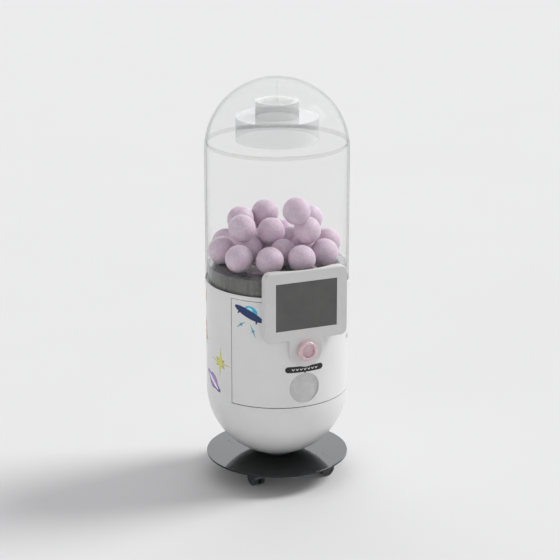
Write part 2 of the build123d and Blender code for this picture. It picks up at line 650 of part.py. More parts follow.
PINION_Y = GEAR_MODULE * (GEAR_TEETH + PINION_TEETH) / 2 + CENTRE_SLACK


def gear_outline(teeth):
    """Involute outline of a spur gear about the origin, with a tooth centred on +X."""
    pitch_r = GEAR_MODULE * teeth / 2
    base_r = pitch_r * cos(radians(PRESSURE_ANGLE))
    tip_r = pitch_r + GEAR_MODULE
    root_r = pitch_r - 1.25 * GEAR_MODULE
    at_pitch = pi / (2 * teeth) - GEAR_BACKLASH / (2 * pitch_r)
    flank = tan(radians(PRESSURE_ANGLE)) - radians(PRESSURE_ANGLE)
    start_r = max(base_r, root_r)
    side = [(root_r, at_pitch + flank)] if root_r < base_r else []
    steps = 5
    for i in range(steps + 1):
        radius = start_r + (tip_r - start_r) * i / steps
        roll = acos(min(1.0, base_r / radius))
        side.append((radius, at_pitch + flank - (tan(roll) - roll)))
    points = []
    for tooth in range(teeth):
        middle = 2 * pi * tooth / teeth
        points += [(radius * cos(middle - a), radius * sin(middle - a)) for radius, a in side]
        points += [(radius * cos(middle + a), radius * sin(middle + a)) for radius, a in reversed(side)]
    return points


with BuildPart() as wheel_gear:
    with BuildSketch(Plane.XY.offset(GEAR_LOW)):
        with BuildLine():
            Polyline(*gear_outline(GEAR_TEETH), close=True)
        make_face()
        Circle(SHAFT_R + SEAT, mode=Mode.SUBTRACT)
    extrude(amount=GEAR_WIDTH)

BRACKET_TOP = GEAR_LOW - 6
BRACKET_THICKNESS = 4.0
BRACKET_HALF = 45.0
GEARBOX_TOP = BRACKET_TOP - BRACKET_THICKNESS
GEARBOX_LOW = GEARBOX_TOP - GEARBOX_HEIGHT
GEAR_TIP_R = GEAR_MODULE * (GEAR_TEETH / 2 + 1)
with BuildPart() as motor_bracket:
    with BuildSketch(Plane.XY.offset(GEARBOX_TOP)):
        block(-BRACKET_HALF, BRACKET_HALF, PINION_Y - 27, PINION_Y + 40)
        with Locations((0, PINION_Y)):
            Circle(MOTOR_SHAFT_R + 6, mode=Mode.SUBTRACT)
    extrude(amount=BRACKET_THICKNESS)
    with BuildSketch(Plane.XY.offset(GEARBOX_TOP)):
        for low_x in (-BRACKET_HALF, BRACKET_HALF - 3):
            block(low_x, low_x + 3, GEAR_TIP_R + 6, PINION_Y + 40)
    extrude(amount=WHEEL_FLOOR_LOW - GEARBOX_TOP)
    with BuildSketch(Plane.XY.offset(WHEEL_FLOOR_LOW - 3)):
        for low_x in (-BRACKET_HALF - 14, BRACKET_HALF):
            block(low_x, low_x + 14, GEAR_TIP_R + 6, PINION_Y + 40)
    extrude(amount=3)

with BuildPart() as gearmotor:
    with BuildSketch(Plane.XY.offset(GEARBOX_LOW)):
        with Locations((0, PINION_Y)):
            RectangleRounded(GEARBOX_SIDE, GEARBOX_SIDE, 4)
    extrude(amount=GEARBOX_HEIGHT)
    with BuildSketch(Plane.XY.offset(GEARBOX_LOW - MOTOR_HEIGHT)):
        with Locations((0, PINION_Y)):
            Circle(MOTOR_R)
    extrude(amount=MOTOR_HEIGHT)

with BuildPart() as motor_pinion:
    with BuildSketch(Plane.XY.offset(GEAR_LOW - 1)):
        with BuildLine():
            Polyline(*[(x, y + PINION_Y) for x, y in gear_outline(PINION_TEETH)], close=True)
        make_face()
    extrude(amount=GEAR_WIDTH + 2)
    with BuildSketch(Plane.XY.offset(GEARBOX_TOP)):
        with Locations((0, PINION_Y)):
            Circle(MOTOR_SHAFT_R)
    extrude(amount=GEAR_TOP + 2 - GEARBOX_TOP)

# ---------------------------------------------------------------- chute and prize bin
CHUTE_R = POCKET_R + 2
BIN_TOP = HATCH_Z + HATCH_R + 22
CHUTE_LOW = BIN_TOP + 5
with BuildPart() as chute:
    with BuildSketch(Plane.XY.offset(CHUTE_LOW)):
        with Locations(EXIT):
            Circle(CHUTE_R + CHUTE_WALL)
            Circle(CHUTE_R, mode=Mode.SUBTRACT)
    extrude(amount=WHEEL_FLOOR_LOW - CHUTE_LOW)
    with BuildSketch(Plane.XY.offset(WHEEL_FLOOR_LOW - 3)):
        with Locations(EXIT):
            Circle(CHUTE_R + 7)
            Circle(CHUTE_R, mode=Mode.SUBTRACT)
    extrude(amount=3)

BIN_INNER_X = HATCH_R + FLAP_LAP + BIN_SIDE_CLEAR
BIN_OUTER_X = BIN_INNER_X + BIN_WALL
BIN_FRONT = sphere_radius(INNER_R - SKIN - RAIL_DEPTH, BIN_OUTER_X) - 6
BIN_BACK = POCKET_CIRCLE_R - CHUTE_R - CHUTE_WALL - 1
BIN_FLOOR_FRONT = HATCH_Z - HATCH_R - 6
with BuildPart() as prize_bin:
    for low_x in (-BIN_OUTER_X, BIN_INNER_X):
        with BuildSketch(Plane.YZ.offset(low_x)):
            block(-BIN_FRONT, -BIN_BACK, SHELF_Z, BIN_TOP)
        extrude(amount=BIN_WALL)
    with BuildSketch(Plane.YZ.offset(-BIN_INNER_X)):
        with BuildLine():
            Polyline(
                (-BIN_FRONT, BIN_FLOOR_FRONT),
                (-BIN_BACK, BIN_FLOOR_FRONT + BIN_FALL),
                (-BIN_BACK, BIN_FLOOR_FRONT + BIN_FALL - BIN_WALL),
                (-BIN_FRONT, BIN_FLOOR_FRONT - BIN_WALL),
                close=True,
            )
        make_face()
        block(-BIN_BACK - BIN_WALL, -BIN_BACK, BIN_FLOOR_FRONT + BIN_FALL - BIN_WALL, BIN_TOP)
    extrude(amount=2 * BIN_INNER_X)

# ---------------------------------------------------------------- door
CABLE_HOLE_R = 15.0
CABLE_Z = PANEL_LOW + 45
LOCK_Z = EQUATOR_Z + LOCK_Z_ABOVE_EQUATOR
with BuildPart() as door_shell:
    with BuildSketch(section(-DOOR_HALF_ANGLE)):
        block(INNER_R, BODY_R, DOOR_LOW, DOOR_TOP)
    revolve(axis=Axis.Z, revolution_arc=2 * DOOR_HALF_ANGLE)
    with BuildSketch(front(INNER_R - 60)):
        with Locations((0, HATCH_Z)):
            Circle(HATCH_R)
        with Locations((0, BUTTON_Z)):
            Circle(BARREL_R + BOLT_CLEAR)
        with Locations((0, CABLE_Z)):
            Circle(CABLE_HOLE_R)
    extrude(amount=80, mode=Mode.SUBTRACT)
    with BuildSketch(outward(LOCK_BEARING, INNER_R - 10, LOCK_Z)):
        Circle(LOCK_BARREL_R + SEAT)
    extrude(amount=30, mode=Mode.SUBTRACT)

HINGE = spot(HINGE_BEARING, HINGE_R)
RAIL_OUTER_R = INNER_R - SKIN
RAIL_INNER_R = RAIL_OUTER_R - RAIL_DEPTH
RAIL_HALF_ANGLE = DOOR_HALF_ANGLE - 1.6
UPPER_RAIL_LOW = DOOR_TOP - RAIL_HEIGHT
HINGE_HOLE = RAIL_HEIGHT - HINGE_SEAT
with BuildPart() as door_rails:
    for low in (DOOR_LOW, UPPER_RAIL_LOW):
        with BuildSketch(section(-RAIL_HALF_ANGLE)):
            block(RAIL_INNER_R, RAIL_OUTER_R, low, low + RAIL_HEIGHT)
        revolve(axis=Axis.Z, revolution_arc=2 * RAIL_HALF_ANGLE)
    for low in (DOOR_LOW, DOOR_TOP - HINGE_HOLE):
        with BuildSketch(Plane.XY.offset(low)):
            with Locations(HINGE):
                Circle(HINGE_PIN_R + RUN)
        extrude(amount=HINGE_HOLE, mode=Mode.SUBTRACT)

with BuildPart() as hinge_pins:
    with BuildSketch(Plane.XY.offset(SHELF_Z)):
        with Locations(HINGE):
            Circle(HINGE_PIN_R)
    extrude(amount=DOOR_LOW + HINGE_HOLE - HINGE_END_PLAY - SHELF_Z)
    with BuildSketch(Plane.XY.offset(DOOR_TOP - HINGE_HOLE + 1)):
        with Locations(HINGE):
            Circle(HINGE_PIN_R)
    extrude(amount=COLLAR_LOW - DOOR_TOP + HINGE_HOLE - 1)

# Cam lock on the door's right side. The cam hangs down when it is unlocked.
LOCK_INNER = INNER_R - LOCK_DEPTH
with BuildPart() as lock_barrel:
    with BuildSketch(outward(LOCK_BEARING, LOCK_INNER, LOCK_Z)):
        Circle(LOCK_BARREL_R)
    extrude(amount=LOCK_DEPTH + BODY_WALL + SKIN)
    with BuildSketch(outward(LOCK_BEARING, BODY_R + SKIN, LOCK_Z)):
        Circle(LOCK_BARREL_R + 2.5)
    extrude(amount=LOCK_FLANGE)
    with BuildSketch(outward(LOCK_BEARING, LOCK_INNER - 1, LOCK_Z)):
        Circle(LOCK_PLUG_R + RUN)
    extrude(amount=LOCK_DEPTH + 12, mode=Mode.SUBTRACT)

with BuildPart() as lock_core:
    with BuildSketch(outward(LOCK_BEARING, LOCK_INNER - 1, LOCK_Z)):
        Circle(LOCK_PLUG_R)
    extrude(amount=LOCK_DEPTH + BODY_WALL + 1)
    with BuildSketch(outward(LOCK_BEARING, BODY_R - 4, LOCK_Z)):
        Rectangle(1.4, 6)
    extrude(amount=8, mode=Mode.SUBTRACT)
    with BuildSketch(outward(LOCK_BEARING, LOCK_INNER - 1 - LOCK_CAM_THICKNESS, LOCK_Z)):
        block(-LOCK_CAM_WIDTH / 2, LOCK_CAM_WIDTH / 2, -LOCK_CAM_LENGTH, 0)
        Circle(LOCK_CAM_WIDTH / 2)
    extrude(amount=LOCK_CAM_THICKNESS)

CAM_REACH_R = hypot(LOCK_INNER - 1, LOCK_CAM_LENGTH)
KEEPER_BEARING = OPENING_HALF_ANGLE + 0.8
with BuildPart() as lock_keeper:
    with BuildSketch(section(KEEPER_BEARING)):
        block(CAM_REACH_R + 1, INNER_R - SKIN, LOCK_Z - 15, LOCK_Z + 15)
    revolve(axis=Axis.Z, revolution_arc=4)

# ---------------------------------------------------------------- prize flap and label
FLAP_R = HATCH_R + FLAP_LAP
FLAP_PIVOT_Z = HATCH_Z + FLAP_PIVOT_ABOVE
FLAP_PIVOT_Y = -(INNER_R - 7.5)
FLAP_BARREL_R = 4.5
FLAP_BARREL_X = 26.0
with BuildPart() as flap_blank:
    with BuildSketch(front(INNER_R - 40)):
        with Locations((0, HATCH_Z)):
            Circle(FLAP_R)
        block(-FLAP_BARREL_X, FLAP_BARREL_X, HATCH_Z, FLAP_PIVOT_Z)
    extrude(amount=60)

with BuildPart() as prize_flap:
    with BuildSketch(section(-30)):
        flap_face = INNER_R - SKIN
        block(flap_face - FLAP_THICKNESS, flap_face, HATCH_Z - 1.5 * FLAP_R, FLAP_PIVOT_Z)
    revolve(axis=Axis.Z, revolution_arc=60)
    add(flap_blank.part, mode=Mode.INTERSECT)
    for low_x in (-FLAP_BARREL_X, 8):
        with BuildSketch(Plane.YZ.offset(low_x)):
            with Locations((FLAP_PIVOT_Y, FLAP_PIVOT_Z)):
                Circle(FLAP_BARREL_R)
        extrude(amount=FLAP_BARREL_X - 8)
    with BuildSketch(Plane.YZ.offset(-FLAP_BARREL_X)):
        with Locations((FLAP_PIVOT_Y, FLAP_PIVOT_Z)):
            Circle(FLAP_PIN_R + RUN)
    extrude(amount=2 * FLAP_BARREL_X, mode=Mode.SUBTRACT)
    with BuildSketch(Plane.YZ.offset(-8)):
        with Locations((FLAP_PIVOT_Y, FLAP_PIVOT_Z)):
            Circle(FLAP_BARREL_R + 0.5)
    extrude(amount=16, mode=Mode.SUBTRACT)

EAR_LOW_X = FLAP_BARREL_X + 2
EAR_THICKNESS = 5.0
with BuildPart() as door_inside:
    with BuildSketch(Plane.XY.offset(FLAP_PIVOT_Z - 20)):
        Circle(INNER_R - SKIN)
    extrude(amount=40)

with BuildPart() as flap_brackets:
    for low_x in (EAR_LOW_X, -EAR_LOW_X - EAR_THICKNESS):
        with BuildSketch(Plane.YZ.offset(low_x)):
            block(-INNER_R, FLAP_PIVOT_Y + 6, FLAP_PIVOT_Z - 6, FLAP_PIVOT_Z + 8)
        extrude(amount=EAR_THICKNESS)
    add(door_inside.part, mode=Mode.INTERSECT)
    with BuildSketch(Plane.YZ.offset(-60)):
        with Locations((FLAP_PIVOT_Y, FLAP_PIVOT_Z)):
            Circle(FLAP_PIN_R + SEAT)
    extrude(amount=120, mode=Mode.SUBTRACT)
    with BuildSketch(Plane.YZ.offset(-EAR_LOW_X - EAR_THICKNESS)):
        with Locations((FLAP_PIVOT_Y, FLAP_PIVOT_Z)):
            Circle(FLAP_PIN_R)
    extrude(amount=2 * (EAR_LOW_X + EAR_THICKNESS))

SPRING_WIRE_R = 0.5
SPRING_HALF = 6.0
with BuildPart() as flap_spring:
    coil_start = (-SPRING_HALF, FLAP_PIVOT_Y, FLAP_PIVOT_Z)
    coil_r = FLAP_PIN_R + SPRING_WIRE_R + 0.5
    with BuildLine() as coil:
        Helix(pitch=1.5, height=2 * SPRING_HALF, radius=coil_r, center=coil_start, direction=(1, 0, 0))
    with BuildSketch(Plane(origin=coil.line @ 0, z_dir=coil.line % 0)):
        Circle(SPRING_WIRE_R)
    sweep(path=coil.line, is_frenet=True)

LABEL_Z = HATCH_Z + LABEL_ABOVE_HATCH
with BuildPart() as label_blank:
    with BuildSketch(front(INNER_R - 60)):
        with Locations((0, LABEL_Z)):
            SlotOverall(LABEL_WIDTH, LABEL_HEIGHT)
        pointer_top = LABEL_Z - LABEL_HEIGHT / 2 + 0.5
        with BuildLine():
            Polyline(
                (-POINTER_SIDE / 2, pointer_top),
                (POINTER_SIDE / 2, pointer_top),
                (0, pointer_top - POINTER_SIDE),
                close=True,
            )
        make_face()
    extrude(amount=100)

with BuildPart() as label_plate:
    with BuildSketch(section(-40)):
        block(BODY_R, BODY_R + LABEL_THICKNESS, LABEL_Z - LABEL_HEIGHT, LABEL_Z + LABEL_HEIGHT)
    revolve(axis=Axis.Z, revolution_arc=80)
    add(label_blank.part, mode=Mode.INTERSECT)

# ---------------------------------------------------------------- screen panel
DOOR_FACE_R = BODY_R + 0.2
CLEAR_R = COLLAR_R + 1.5  # the panel passes in front of the collar and the tube
STEP_Z = COLLAR_LOW - DOOR_GAP - 1
LOWEST = BUTTON_Z - TAB_R - 20
HIGHEST = PANEL_LOW + PANEL_HEIGHT + 20


def panel_outline(inset):
    """The panel's outline with its tab, drawn this far inside its edge."""
    with Locations((0, PANEL_Z)):
        RectangleRounded(PANEL_WIDTH - 2 * inset, PANEL_HEIGHT - 2 * inset, PANEL_CORNER_R - inset)
    with Locations((0, BUTTON_Z)):
        Circle(TAB_R - inset)
    block(-TAB_R + inset, TAB_R - inset, BUTTON_Z, PANEL_LOW + PANEL_CORNER_R)


def body_profile(grow):
    """Half section of what stands behind the panel: the door's face, then collar and tube."""
    block(0, DOOR_FACE_R + grow, LOWEST, STEP_Z)
    block(0, CLEAR_R + grow, STEP_Z - grow, HIGHEST)


with BuildPart() as body_envelope:
    with BuildSketch(Plane.XZ):
        body_profile(0)
    revolve(axis=Axis.Z)

with BuildPart() as cover_envelope:
    with BuildSketch(Plane.XZ):
        body_profile(2.5)
    revolve(axis=Axis.Z)

GLASS_FACE = PANEL_FACE - GLASS_RECESS
GLASS_BACK = GLASS_FACE - GLASS_THICKNESS
LCD_BACK = GLASS_BACK - LCD_THICKNESS
COVER_FACE = LCD_BACK - 0.1
COVER_INSET = PANEL_WALL + 0.3
BEZEL_WALL = 3.0
SCREEN_Z = PANEL_Z
with BuildPart() as screen_housing:
    with BuildSketch(front(PANEL_BACK)):
        panel_outline(0)
    extrude(amount=PANEL_DEPTH)
    fillet(screen_housing.faces().sort_by(Axis.Y)[0].edges(), PANEL_EDGE_R)
    with BuildSketch(front(PANEL_BACK)):
        panel_outline(PANEL_WALL)
    extrude(amount=PANEL_DEPTH - BEZEL_WALL, mode=Mode.SUBTRACT)
    with BuildSketch(front(PANEL_BACK)):
        block(-SCREEN_WIDTH / 2, SCREEN_WIDTH / 2, SCREEN_Z - SCREEN_HEIGHT / 2, SCREEN_Z + SCREEN_HEIGHT / 2)
        with Locations((0, BUTTON_Z)):
            Circle(BARREL_R + BOLT_CLEAR)
    extrude(amount=PANEL_DEPTH, mode=Mode.SUBTRACT)
    add(body_envelope.part, mode=Mode.SUBTRACT)

with BuildPart() as screen_glass:
    with BuildSketch(front(GLASS_BACK)):
        fit = 0.1
        block(
            -SCREEN_WIDTH / 2 + fit,
            SCREEN_WIDTH / 2 - fit,
            SCREEN_Z - SCREEN_HEIGHT / 2 + fit,
            SCREEN_Z + SCREEN_HEIGHT / 2 - fit,
        )
    extrude(amount=GLASS_THICKNESS)

with BuildPart() as lcd_module:
    with BuildSketch(front(LCD_BACK)):
        with Locations((0, SCREEN_Z)):
            Rectangle(SCREEN_WIDTH + 18, SCREEN_HEIGHT + 16)
    extrude(amount=LCD_THICKNESS)

with BuildPart() as cover_hollow:
    with BuildSketch(front(PANEL_BACK + 2.5)):
        with Locations((0, PANEL_Z)):
            hollow_width = PANEL_WIDTH - 2 * COVER_INSET - 5
            hollow_height = PANEL_HEIGHT - 2 * COVER_INSET - 5
            RectangleRounded(hollow_width, hollow_height, PANEL_CORNER_R - COVER_INSET - 2.5)
    extrude(amount=COVER_FACE - PANEL_BACK)
    add(cover_envelope.part, mode=Mode.SUBTRACT)

with BuildPart() as screen_back_cover:
    with BuildSketch(front(PANEL_BACK)):
        with Locations((0, PANEL_Z)):
            cover_width = PANEL_WIDTH - 2 * COVER_INSET
            cover_height = PANEL_HEIGHT - 2 * COVER_INSET
            RectangleRounded(cover_width, cover_height, PANEL_CORNER_R - COVER_INSET)
        with Locations((0, CABLE_Z)):
            Circle(CABLE_HOLE_R - 3, mode=Mode.SUBTRACT)
    extrude(amount=COVER_FACE - PANEL_BACK)
    add(body_envelope.part, mode=Mode.SUBTRACT)
    add(cover_hollow.part, mode=Mode.SUBTRACT)

# ---------------------------------------------------------------- push button
BEZEL_FACE = PANEL_FACE + BEZEL_PROUD
with BuildPart() as button_bezel:
    with BuildSketch(front(PANEL_FACE)):
        with Locations((0, BUTTON_Z)):
            Circle(BEZEL_R)
    extrude(amount=BEZEL_PROUD)
    fillet(button_bezel.faces().sort_by(Axis.Y)[0].edges(), 6.0)
    with BuildSketch(front(PANEL_FACE + BEZEL_FLOOR)):
        with Locations((0, BUTTON_Z)):
            Circle(RECESS_R + PLUNGER_GAP)
    extrude(amount=BEZEL_PROUD, mode=Mode.SUBTRACT)
    with BuildSketch(front(PANEL_FACE - BARREL_LENGTH)):
        with Locations((0, BUTTON_Z)):
            Circle(BARREL_R)
    extrude(amount=BARREL_LENGTH)
    with BuildSketch(front(PANEL_FACE - BARREL_LENGTH - 1)):
        with Locations((0, BUTTON_Z)):
            Circle(STEM_R + RUN)
    extrude(amount=BARREL_LENGTH + 10, mode=Mode.SUBTRACT)
    recess_edges = button_bezel.edges().filter_by(lambda edge: is_circle(edge, RECESS_R + PLUNGER_GAP))
    fillet(recess_edges.sort_by(Axis.Y)[0], 3.0)

PLUNGER_FACE = BEZEL_FACE - PLUNGER_SET_BACK
PLUNGER_SKIRT = BEZEL_PROUD - PLUNGER_SET_BACK - BEZEL_FLOOR - BUTTON_TRAVEL - 0.5
DISH_R = (RECESS_R**2 + PLUNGER_DISH**2) / (2 * PLUNGER_DISH) * 0.92
with BuildPart() as dish_ball:
    with Locations((0, -(PLUNGER_FACE - PLUNGER_DISH + DISH_R), BUTTON_Z)):
        Sphere(DISH_R)

STEM_BACK = PANEL_FACE - BARREL_LENGTH - 5
with BuildPart() as button_plunger:
    with BuildSketch(front(PLUNGER_FACE - PLUNGER_SKIRT)):
        with Locations((0, BUTTON_Z)):
            Circle(RECESS_R)
    extrude(amount=PLUNGER_SKIRT)
    add(dish_ball.part, mode=Mode.SUBTRACT)
    with BuildSketch(front(STEM_BACK)):
        with Locations((0, BUTTON_Z)):
            Circle(STEM_R)
    extrude(amount=PLUNGER_FACE - PLUNGER_SKIRT - STEM_BACK)

with BuildPart() as door_nuts:
    with BuildSketch(front(INNER_R - 7)):
        with Locations((0, BUTTON_Z)):
            RegularPolygon(BARREL_R + 7, 6)
            Circle(BARREL_R + SEAT, mode=Mode.SUBTRACT)
    extrude(amount=6)
    with BuildSketch(outward(LOCK_BEARING, INNER_R - 6.5, LOCK_Z)):
        RegularPolygon(LOCK_BARREL_R + 5, 6)
        Circle(LOCK_BARREL_R + SEAT, mode=Mode.SUBTRACT)
    extrude(amount=5)

SWITCH_FACE = STEM_BACK - BUTTON_TRAVEL - 0.5
with BuildPart() as button_switch:
    with BuildSketch(front(SWITCH_FACE - 16)):
        with Locations((0, BUTTON_Z)):
            Rectangle(10, 28)
    extrude(amount=16)
    with BuildSketch(front(SWITCH_FACE - 14)):
        for low_x in (-BARREL_R - 2.5, BARREL_R + 0.5):
            block(low_x, low_x + 2, BUTTON_Z - 8, BUTTON_Z + 8)
    extrude(amount=16)
    with BuildSketch(front(SWITCH_FACE - 14)):
        block(-BARREL_R - 2.5, BARREL_R + 2.5, BUTTON_Z - 8, BUTTON_Z + 8)
    extrude(amount=2)

# ---------------------------------------------------------------- electrics on the shelf
SUPPLY_X = (-165.0, -72.0)
SUPPLY_Y = (10.0, 160.0)
SUPPLY_HEIGHT = 48.0
with BuildPart() as power_supply:
    with BuildSketch(Plane.XY.offset(SHELF_Z)):
        block(*SUPPLY_X, *SUPPLY_Y)
    extrude(amount=SUPPLY_HEIGHT)
    with BuildSketch(Plane.XY.offset(SHELF_Z + SUPPLY_HEIGHT - 2)):
        with Locations((sum(SUPPLY_X) / 2, sum(SUPPLY_Y) / 2)):
            with GridLocations(9, 0, 8, 1):
                SlotOverall(60, 4, rotation=90)
    extrude(amount=2, mode=Mode.SUBTRACT)

BOARD_X = (60.0, 165.0)
BOARD_Y = (10.0, 150.0)
BOARD_LIFT = 12.0
BOARD_THICKNESS = 1.6
BOARD_HOLES = [(x, y) for x in (BOARD_X[0] + 6, BOARD_X[1] - 6) for y in (BOARD_Y[0] + 6, BOARD_Y[1] - 6)]
with BuildPart() as control_board:
    with BuildSketch(Plane.XY.offset(SHELF_Z + BOARD_LIFT)):
        block(*BOARD_X, *BOARD_Y)
    extrude(amount=BOARD_THICKNESS)
    with BuildSketch(Plane.XY.offset(SHELF_Z + BOARD_LIFT + BOARD_THICKNESS)):
        with Locations((BOARD_X[0] + 35, BOARD_Y[0] + 50), (BOARD_X[0] + 70, BOARD_Y[0] + 95)):
            Rectangle(24, 24)
        with Locations((BOARD_X[0] + 80, BOARD_Y[0] + 30)):
            Rectangle(12, 38)
    extrude(amount=4)

# ---------------------------------------------------------------- capsules
# One capsule is two shells that meet in a stepped rim. The lower shell carries the step.
LIP = 3.0
HALF_GAP = 0.15


def half_shell(inner, outer, low):
    """Half section of a hollow hemisphere above a height."""
    with BuildLine() as outline:
        low_inner = (sphere_radius(inner, low), low)
        low_outer = (sphere_radius(outer, low), low)
        Line(low_inner, low_outer)
        ThreePointArc(low_outer, (outer * sin(0.8), outer * cos(0.8)), (0, outer))
        Line((0, outer), (0, inner))
        ThreePointArc((0, inner), (inner * sin(0.8), inner * cos(0.8)), low_inner)
    make_face(outline.edges())


with BuildPart() as cap_pattern:
    with BuildSketch(Plane.XZ):
        half_shell(CAPSULE_R - CAPSULE_WALL, CAPSULE_R, HALF_GAP)
    revolve(axis=Axis.Z)

with BuildPart() as cup_pattern:
    with BuildSketch(Plane.XZ):
        half_shell(CAPSULE_R - CAPSULE_WALL, CAPSULE_R, HALF_GAP)
    revolve(axis=Axis.Z)
    with BuildSketch(Plane.XZ):
        rim_outer = CAPSULE_R - CAPSULE_WALL - SKIN
        block(rim_outer - CAPSULE_WALL, rim_outer, -LIP, LIP)
        block(rim_outer - CAPSULE_WALL, CAPSULE_R - CAPSULE_WALL / 2, 2 * HALF_GAP, LIP)
    revolve(axis=Axis.Z)


PILE_R = TUBE_INNER_R - CAPSULE_R - 1.0  # the furthest a capsule's centre gets from the axis
# Capsules lowered into the tube, in order: bearing, and share of the furthest distance.
DROPS = [
    # on the hopper floor, along the tube
    (-31.6, 0.79),
    (-67.7, 0.936),
    (10.5, 0.792),
    (-105.3, 0.987),
    (50.4, 0.874),
    (-134.6, 0.999),
    (92.2, 0.991),
    (122.0, 0.995),
    (152.0, 0.995),
    (182.0, 0.995),
    # on the hopper floor, inside that ring
    (0.0, 0.298),
    (76.0, 0.471),
    (136.0, 0.529),
    (-166.0, 0.51),
    (-106.0, 0.49),
    # on top of them
    (-90.8, 0.664),
    (-138.4, 0.116),
    (45.0, 0.571),
    (-152.6, 0.856),
    (173.2, 0.813),
    (110.2, 0.779),
    (16.5, 0.542),
]


def resting_height(x, y, placed):
    """Height of the centre of a capsule lowered at (x, y) onto the floor and the placed ones."""
    height = HOPPER_FLOOR_TOP + CAPSULE_R + CAPSULE_GAP
    reach = CAPSULE_D + CAPSULE_GAP
    for other_x, other_y, other_z in placed:
        apart = hypot(x - other_x, y - other_y)
        if apart < reach:
            height = max(height, other_z + sqrt(reach**2 - apart**2))
    return height


pile = []
for bearing, share in DROPS:
    x, y = spot(bearing, share * PILE_R)
    pile.append((x, y, resting_height(x, y, pile)))

PILE_PLACES = [Location(centre, (37.0 * i % 180, 53.0 * i % 90, 71.0 * i)) for i, centre in enumerate(pile)]
POCKET_PLACES = [
    Location((x, y, WHEEL_FLOOR_TOP + CAPSULE_R + CAPSULE_GAP + 0.2), (40.0 * i, 25.0 * i, 0))
    for i, (x, y) in enumerate(POCKET_SPOTS)
    if i > 0
]


def turned_over(place):
    """The same place with the capsule upside down."""
    return place * Location((0, 0, 0), (180, 0, 0))


capsule_parts = {}
for name, places in (("capsules", PILE_PLACES), ("pocket_capsules", POCKET_PLACES)):
    with BuildPart() as group:
        with Locations(*places):
            add(cap_pattern.part)
        with Locations(*[turned_over(place) for place in places]):
            add(cup_pattern.part)
    capsule_parts[name] = group

# ---------------------------------------------------------------- fasteners of the body and base
GLAND_NUT_WIDTH = 5.0
with BuildPart() as frame_fasteners:
    # Base bolts with their nuts
    with BuildSketch(Plane.XY.offset(DISC_LOW - BASE_BOLT_HEAD)):
        with Locations(*BASE_BOLTS):
            Circle(BASE_NUT_R)
            RegularPolygon(BASE_BOLT_R * 0.92, 6, mode=Mode.SUBTRACT)
    extrude(amount=BASE_BOLT_HEAD / 2)
    with BuildSketch(Plane.XY.offset(DISC_LOW - BASE_BOLT_HEAD / 2)):
        with Locations(*BASE_BOLTS):
            Circle(BASE_NUT_R)
    extrude(amount=BASE_BOLT_HEAD / 2)
    with BuildSketch(Plane.XY.offset(DISC_LOW)):
        with Locations(*BASE_BOLTS):
            Circle(BASE_BOLT_R)
    extrude(amount=CLAMP_TOP + BASE_NUT_HEIGHT + 1.5 - DISC_LOW)
    with BuildSketch(Plane.XY.offset(CLAMP_TOP)):
        with Locations(*BASE_BOLTS):
            RegularPolygon(BASE_NUT_R + 1, 6)
            Circle(BASE_BOLT_R + SEAT, mode=Mode.SUBTRACT)
    extrude(amount=BASE_NUT_HEIGHT)
    # Screws of the caster plates
    with BuildSketch(Plane.XY.offset(CASTER_HEIGHT - CASTER_PLATE_THICKNESS - CASTER_SCREW_HEAD)):
        with Locations(*CASTER_SCREWS):
            Circle(CASTER_SCREW_R + 2)
    extrude(amount=CASTER_SCREW_HEAD)
    with BuildSketch(Plane.XY.offset(CASTER_HEIGHT - CASTER_PLATE_THICKNESS)):
        with Locations(*CASTER_SCREWS):
            Circle(CASTER_SCREW_R)
    extrude(amount=CASTER_PLATE_THICKNESS + DISC_THICKNESS - 1)
    # Screws that hold the collar to the back of the shell
    for bearing in COLLAR_SCREW_BEARINGS:
        with BuildSketch(outward(bearing, INNER_R - 6, COLLAR_SCREW_Z)):
            Circle(COLLAR_SCREW_R)
        extrude(amount=BODY_WALL + 6 + SKIN)
        with BuildSketch(outward(bearing, BODY_R + SKIN, COLLAR_SCREW_Z)):
            Circle(COLLAR_SCREW_R + 2)
        extrude(amount=1.8)
    # The gland's lock nut
    with BuildSketch(front(-INNER_R + 1)):
        with Locations((0, GLAND_Z)):
            RegularPolygon(GLAND_R + 5, 6)
            Circle(GLAND_R + SEAT, mode=Mode.SUBTRACT)
    extrude(amount=GLAND_NUT_WIDTH)
    # Stand-offs of the control board
    with BuildSketch(Plane.XY.offset(SHELF_Z)):
        with Locations(*BOARD_HOLES):
            Circle(4)
    extrude(amount=BOARD_LIFT)

